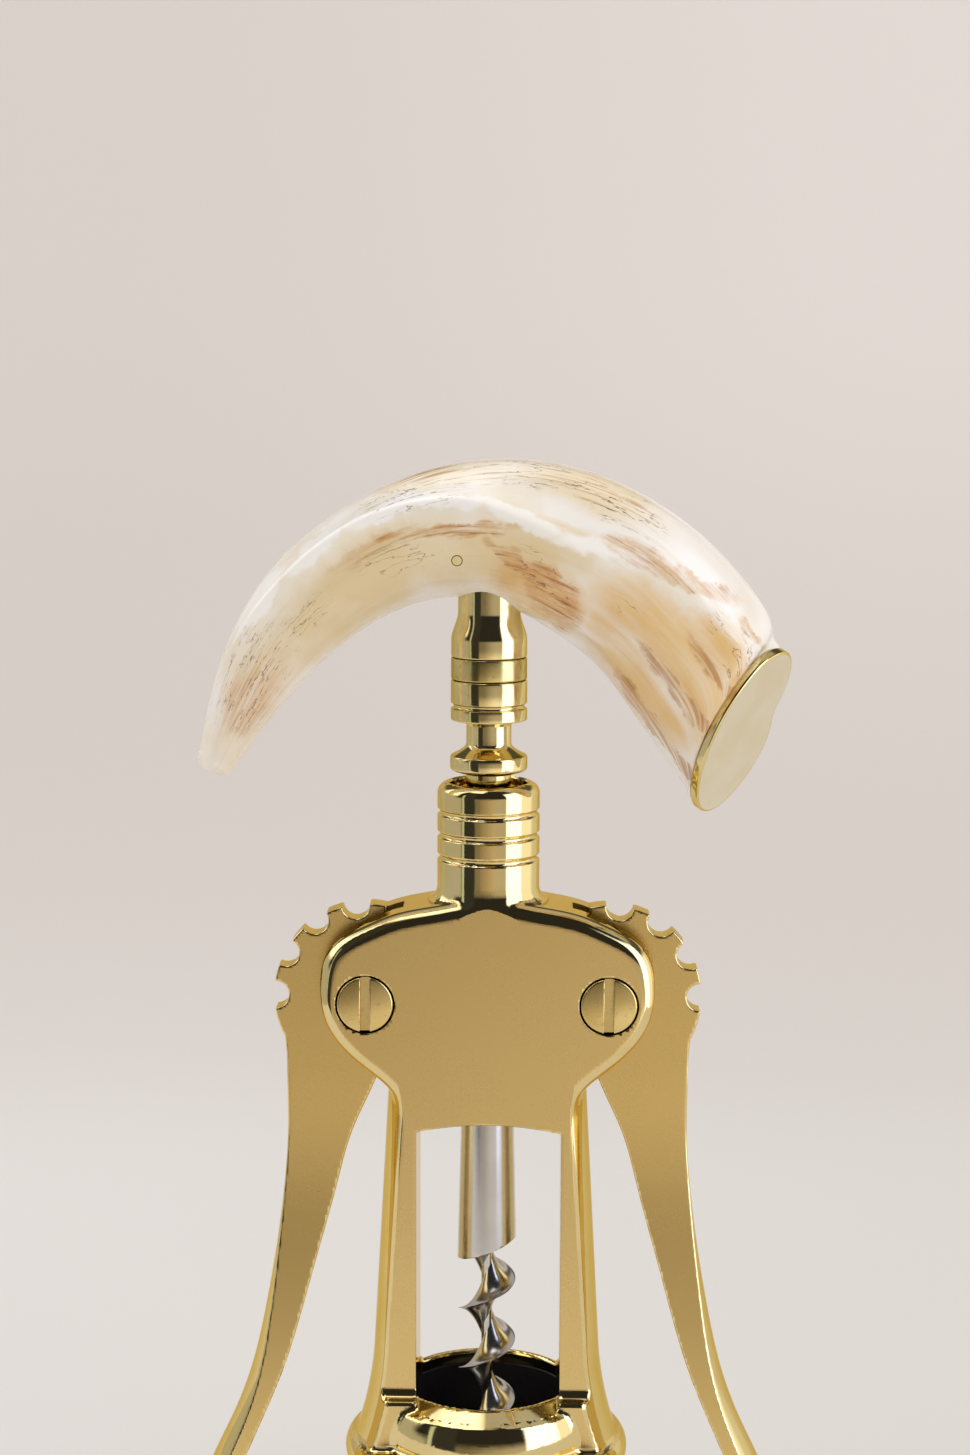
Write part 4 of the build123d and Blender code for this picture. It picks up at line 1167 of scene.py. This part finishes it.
def make_tusk():
    loops = np.array([tusk_section(s) for s in TUSK_SHARES] + [cap_points(CAP_THICK, 0.25)])
    knots = np.concatenate([[0], np.cumsum(np.linalg.norm(np.diff(loops.mean(1), axis=0), axis=1))])
    at = np.linspace(0, knots[-1], 260)
    body = spline(knots, loops)(at)
    middle = body.mean(1, keepdims=True)
    body = middle + (body - middle) * tusk_relief(at)[..., None]
    # Rounded tip beyond the first section
    first = body[0]
    centre = first.mean(0)
    way = radians(TUSK_SHARES[0][4])
    back = np.array([-cos(way), 0.0, -sin(way)]) * TIP_LONG
    tip_rows = [centre + (first - centre) * cos(t) + back * sin(t) for t in np.linspace(pi / 2, 0, 15)[1:-1]]
    points = np.concatenate([np.array(tip_rows), body])
    rows, n = points.shape[:2]
    tip = rows * n
    flat = np.concatenate([points.reshape(-1, 3), [centre + back], [body[-1].mean(0)]])
    obj = mesh_object("boar_tusk", flat, tube_faces(rows, n), IVORY)
    # Map along the tusk and round it, both in millimetres
    lengths = np.concatenate([np.linspace(-TIP_LONG, 0, len(tip_rows)), at])
    girth = ROUND * GIRTH_R
    uv = obj.data.uv_layers.new(name="along_and_round").data
    values = []
    for face in obj.data.polygons:
        names = list(face.vertices)
        turn = [v % n for v in names if v < tip]
        wraps = 0 in turn and n - 1 in turn
        for v in names:
            if v >= tip:
                values += [lengths[0] if v == tip else lengths[-1], girth[turn[0]]]
            else:
                extra = 2 * pi * GIRTH_R if wraps and v % n == 0 else 0.0
                values += [lengths[v // n], girth[v % n] + extra]
    uv.foreach_set("uv", values)
    outward(obj)
    obj.data.set_sharp_from_angle(angle=radians(50))
    place_piece(obj, "handle", "tusk", "tusk")


def make_cap():
    # Rows from the back, over the rounded rim, to the face: depth and inset
    back, rim_r = CAP_THICK - 0.02, 0.5
    rows = [(back, 0.6), (back, 0.3), (CAP_THICK - 0.2, 0.26), (CAP_THICK - 0.25, 0.05)]
    rows += [(CAP_THICK - 0.32, 0.0)]
    rows += [(rim_r - rim_r * sin(t), rim_r - rim_r * cos(t)) for t in np.linspace(0, pi / 2, 8)]
    rows += [(0.0, 0.9)]
    middle = cap_points(0.0).mean(0)
    ends = [[middle - np.array(CAP_LOOK) * back], [middle]]
    points = np.concatenate([cap_points(deep, inset) for deep, inset in rows] + ends)
    faces = tube_faces(len(rows), ROUND_COUNT)
    obj = outward(mesh_object("tusk_end_cap", points, faces, LAPPED_BRASS))
    # The rim and the back keep the turned finish, and the face is lapped
    obj.data.materials.append(TURNED_BRASS)
    rim_faces = (len(rows) - 2) * ROUND_COUNT
    obj.data.polygons.foreach_set("material_index", [int(k < rim_faces) for k in range(len(faces))])
    obj.data.set_sharp_from_angle(angle=radians(30))
    place_piece(obj, "handle", "polished_brass", "tusk_cap")


# Camera, floor and light

CAMERA_FOCAL = 2850.0
PHOTO_TALL = 1455.0
SENSOR = 36.0
CAMERA_SHIFT = -3.9
CAMERA_PITCH = radians(8.1)
CAMERA_YAW = radians(1.0)
CAMERA_ROLL = radians(0.22)
CAMERA_DISTANCE = 518.2
CAMERA_AIM_Z = 157.65


def make_camera():
    level = Vector((-sin(CAMERA_YAW), cos(CAMERA_YAW), 0)) * cos(CAMERA_PITCH)
    forward = level - Vector((0, 0, sin(CAMERA_PITCH)))
    right = Vector((cos(CAMERA_YAW), sin(CAMERA_YAW), 0))
    up = right.cross(forward)
    turned_right = right * cos(CAMERA_ROLL) + up * sin(CAMERA_ROLL)
    turned_up = up * cos(CAMERA_ROLL) - right * sin(CAMERA_ROLL)
    place = Vector((0, 0, CAMERA_AIM_Z)) - forward * CAMERA_DISTANCE
    data = bpy.data.cameras.new("camera")
    data.sensor_width = SENSOR
    data.lens = CAMERA_FOCAL / PHOTO_TALL * SENSOR
    data.shift_x = CAMERA_SHIFT / PHOTO_TALL
    data.clip_start, data.clip_end = 0.01, 20.0
    axes = Matrix((turned_right, turned_up, -forward)).transposed().to_4x4()
    bpy.context.scene.camera = new_object("camera", data)
    bpy.context.scene.camera.matrix_world = Matrix.Translation(place * MM) @ axes


def stage_material():
    # Matt paper sweep, with painted light and shade: the table paler than the upright,
    # a little darker to the right and towards the bend, and the upright paler to the right
    mat, tree, place = new_material("matt_paper_sweep")
    apart = add_node(tree, "ShaderNodeSeparateXYZ", Vector=place)
    # Painted light and shade across the table and the upright, and darker towards the bend
    across = apart[0].fade(-0.15, 0.15)
    table = across.blend("#e4e0dd", "#dedad6")
    upright = across.blend("#dbd3ce", "#e4dcd8")
    tone = apart[1].fade(0.22, 0.52).blend(table, "#d4ccc6")
    tone = apart[2].fade(0.0, 0.25).blend(tone, upright)
    tone = (noise(place, 1.2, 3.0) * 0.03).blend(tone, "#c8c0ba")
    diffuse = add_node(tree, "ShaderNodeBsdfDiffuse", Color=tone)
    glow = add_node(tree, "ShaderNodeEmission", Color=tone, Strength=1.0)
    ray = add_node(tree, "ShaderNodeLightPath")
    seen = ray["Is Camera Ray"].largest(ray["Is Glossy Ray"]).largest(ray["Is Transmission Ray"])
    mixed = add_node(tree, "ShaderNodeMixShader", i0=seen * 0.7, i1=diffuse, i2=glow)
    # The paper has a front only, so that the object can be looked at from behind
    rear = add_node(tree, "ShaderNodeNewGeometry")["Backfacing"] * ray["Is Camera Ray"]
    clear = add_node(tree, "ShaderNodeBsdfTransparent")
    mixed = add_node(tree, "ShaderNodeMixShader", i0=rear, i1=mixed, i2=clear)
    add_node(tree, "ShaderNodeOutputMaterial", Surface=mixed)
    return mat


def make_stage():
    # Table that bends up into an upright behind the object. Metal reflects
    # only the part near the object; past it lie the walls of the room.
    paper = stage_material()
    front, bend_y, bend_r, top = -240.0, 330.0, 160.0, 360.0
    wall_y, wide, narrow = bend_y + bend_r, 1800.0, 350.0
    near = [(front, 0.0), (bend_y, 0.0)] + arc(bend_y, bend_r, bend_r, -84, 0, 15) + [(wall_y, top)]
    sheets = (
        ("paper_near", -narrow, narrow, near, True),
        ("paper_left", -wide, -narrow, near, False),
        ("paper_right", narrow, wide, near, False),
        ("paper_front", -wide, wide, [(-1600.0, 0.0), (front, 0.0)], False),
        ("paper_high", -wide, wide, [(wall_y, top), (wall_y, wide)], False),
    )
    for name, left, right, profile, mirrored_in_metal in sheets:
        points = [(x, y, z - 0.05) for x in (left, right) for y, z in profile]
        n = len(profile)
        faces = [[k, n + k, n + k + 1, k + 1] for k in range(n - 1)]
        sheet = mesh_object(name, points, faces, paper)
        sheet.visible_glossy = mirrored_in_metal


def make_world():
    world = bpy.data.worlds.new("studio")
    bpy.context.scene.world = world
    world.use_nodes = True
    tree = world.node_tree
    tree.nodes.clear()
    way = add_node(tree, "ShaderNodeTexCoord")["Generated"]
    apart = add_node(tree, "ShaderNodeSeparateXYZ", Vector=way)
    side = apart[0].angle(apart[1] * -1.0).degrees()
    lift = apart[2].arcsine().degrees()

    def panel(tone, middle, half, low, high, soft_side=3.0, soft_lift=3.0):
        # One softbox or dark card, by where it stands round the object
        off = abs(side - middle)
        mask = off.least(360.0 - off).fade(half + soft_side, half - soft_side)
        mask = mask * lift.fade(low - soft_lift, low + soft_lift)
        mask = mask * lift.fade(high + soft_lift, high - soft_lift)
        return mask.blend(level, tone)

    def grey(value):
        return (value, value * 0.985, value * 0.96, 1.0)

    # The table before the object pales towards its foot and to the right
    near = lift.fade(-9.0, -21.0)
    warm = near.blend((0.22, 0.19, 0.145, 1.0), (0.64, 0.55, 0.43, 1.0))
    cool = near.blend((0.52, 0.47, 0.41, 1.0), (1.15, 1.06, 0.95, 1.0))
    level = side.fade(-22.0, 24.0).blend(warm, cool)
    # Walls at the sides, dark room behind, in front and overhead, then the
    # softboxes and the black card
    level = panel(grey(1.2), 98, 24, -40, 30, 6.0)
    level = panel(grey(0.5), -88, 26, -40, 16, 5.0)
    level = panel(grey(0.55), -134, 22, -40, 30, 5.0)
    level = panel(grey(0.8), 134, 20, -40, 40, 5.0)
    level = panel(grey(0.10), 180, 100, 24, 48, 12.0, 6.0)
    level = panel(grey(0.50), 180, 100, 52, 96, 12.0, 6.0)
    level = panel(grey(0.025), 0, 78, 3, 84, 6.0, 5.0)
    level = panel(grey(0.04), -45.5, 15.5, -34, 95, 2.0)
    level = panel((1.9, 2.15, 2.8, 1.0), 61, 19, -26, 46, 2.5, 6.0)
    level = panel((1.7, 1.7, 1.75, 1.0), -98, 24, 16, 60, 4.0, 6.0)
    level = panel((0.62, 0.68, 0.6, 1.0), -58, 2.5, -20, 30, 1.0)
    level = panel(grey(2.0), -75, 55, 62, 88, 12.0, 6.0)
    # The eye sees a plain room, and matt surfaces are lit by an even grey
    ray = add_node(tree, "ShaderNodeLightPath")
    plain = apart[2].fade(-0.1, 0.25).blend("#dfd9d5", "#dcd4d0")
    shown = ray["Is Glossy Ray"].blend(grey(0.6), level)
    shown = ray["Is Camera Ray"].largest(ray["Is Transmission Ray"]).blend(shown, plain)
    background = add_node(tree, "ShaderNodeBackground", Color=shown, Strength=1.0)
    add_node(tree, "ShaderNodeOutputWorld", Surface=background)


def soft_lamp(name, place_mm, aim_mm, size_mm, watts, tint="#fffaf4"):
    data = bpy.data.lights.new(name, "AREA")
    data.shape = "RECTANGLE"
    data.size, data.size_y = size_mm[0] * MM, size_mm[1] * MM
    data.energy = watts
    data.color = linear(tint)[:3]
    obj = new_object(name, data)
    place, aim = Vector(place_mm) * MM, Vector(aim_mm) * MM
    obj.matrix_world = Matrix.Translation(place) @ (place - aim).to_track_quat("Z", "Y").to_matrix().to_4x4()
    obj.visible_glossy = False


def make_lights():
    aim = (0, 0, 140)
    soft_lamp("key_right", (900, -480, 620), aim, (700, 800), 4.6)
    soft_lamp("fill_left", (-900, -250, 700), aim, (600, 600), 2.6)
    soft_lamp("top", (0, 150, 1200), aim, (900, 900), 3.4)


make_camera()
make_stage()
make_world()
make_lights()
bpy.context.scene.view_settings.view_transform = "Standard"

make_frame()
make_levers()
make_screws()
make_rack()
make_stem()
make_liner()
make_worm()
make_tusk()
make_cap()

# Small solids that keep their own meshes, given brass or steel
for node in ("left_pivot_nut", "right_pivot_nut", "tusk_pin", "tusk_cap_peg", "worm_pin", "handle_stud"):
    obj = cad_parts[node]
    obj.data.materials.clear()
    obj.data.materials.append(STEEL if node in ("worm_pin", "handle_stud") else TURNED_BRASS)
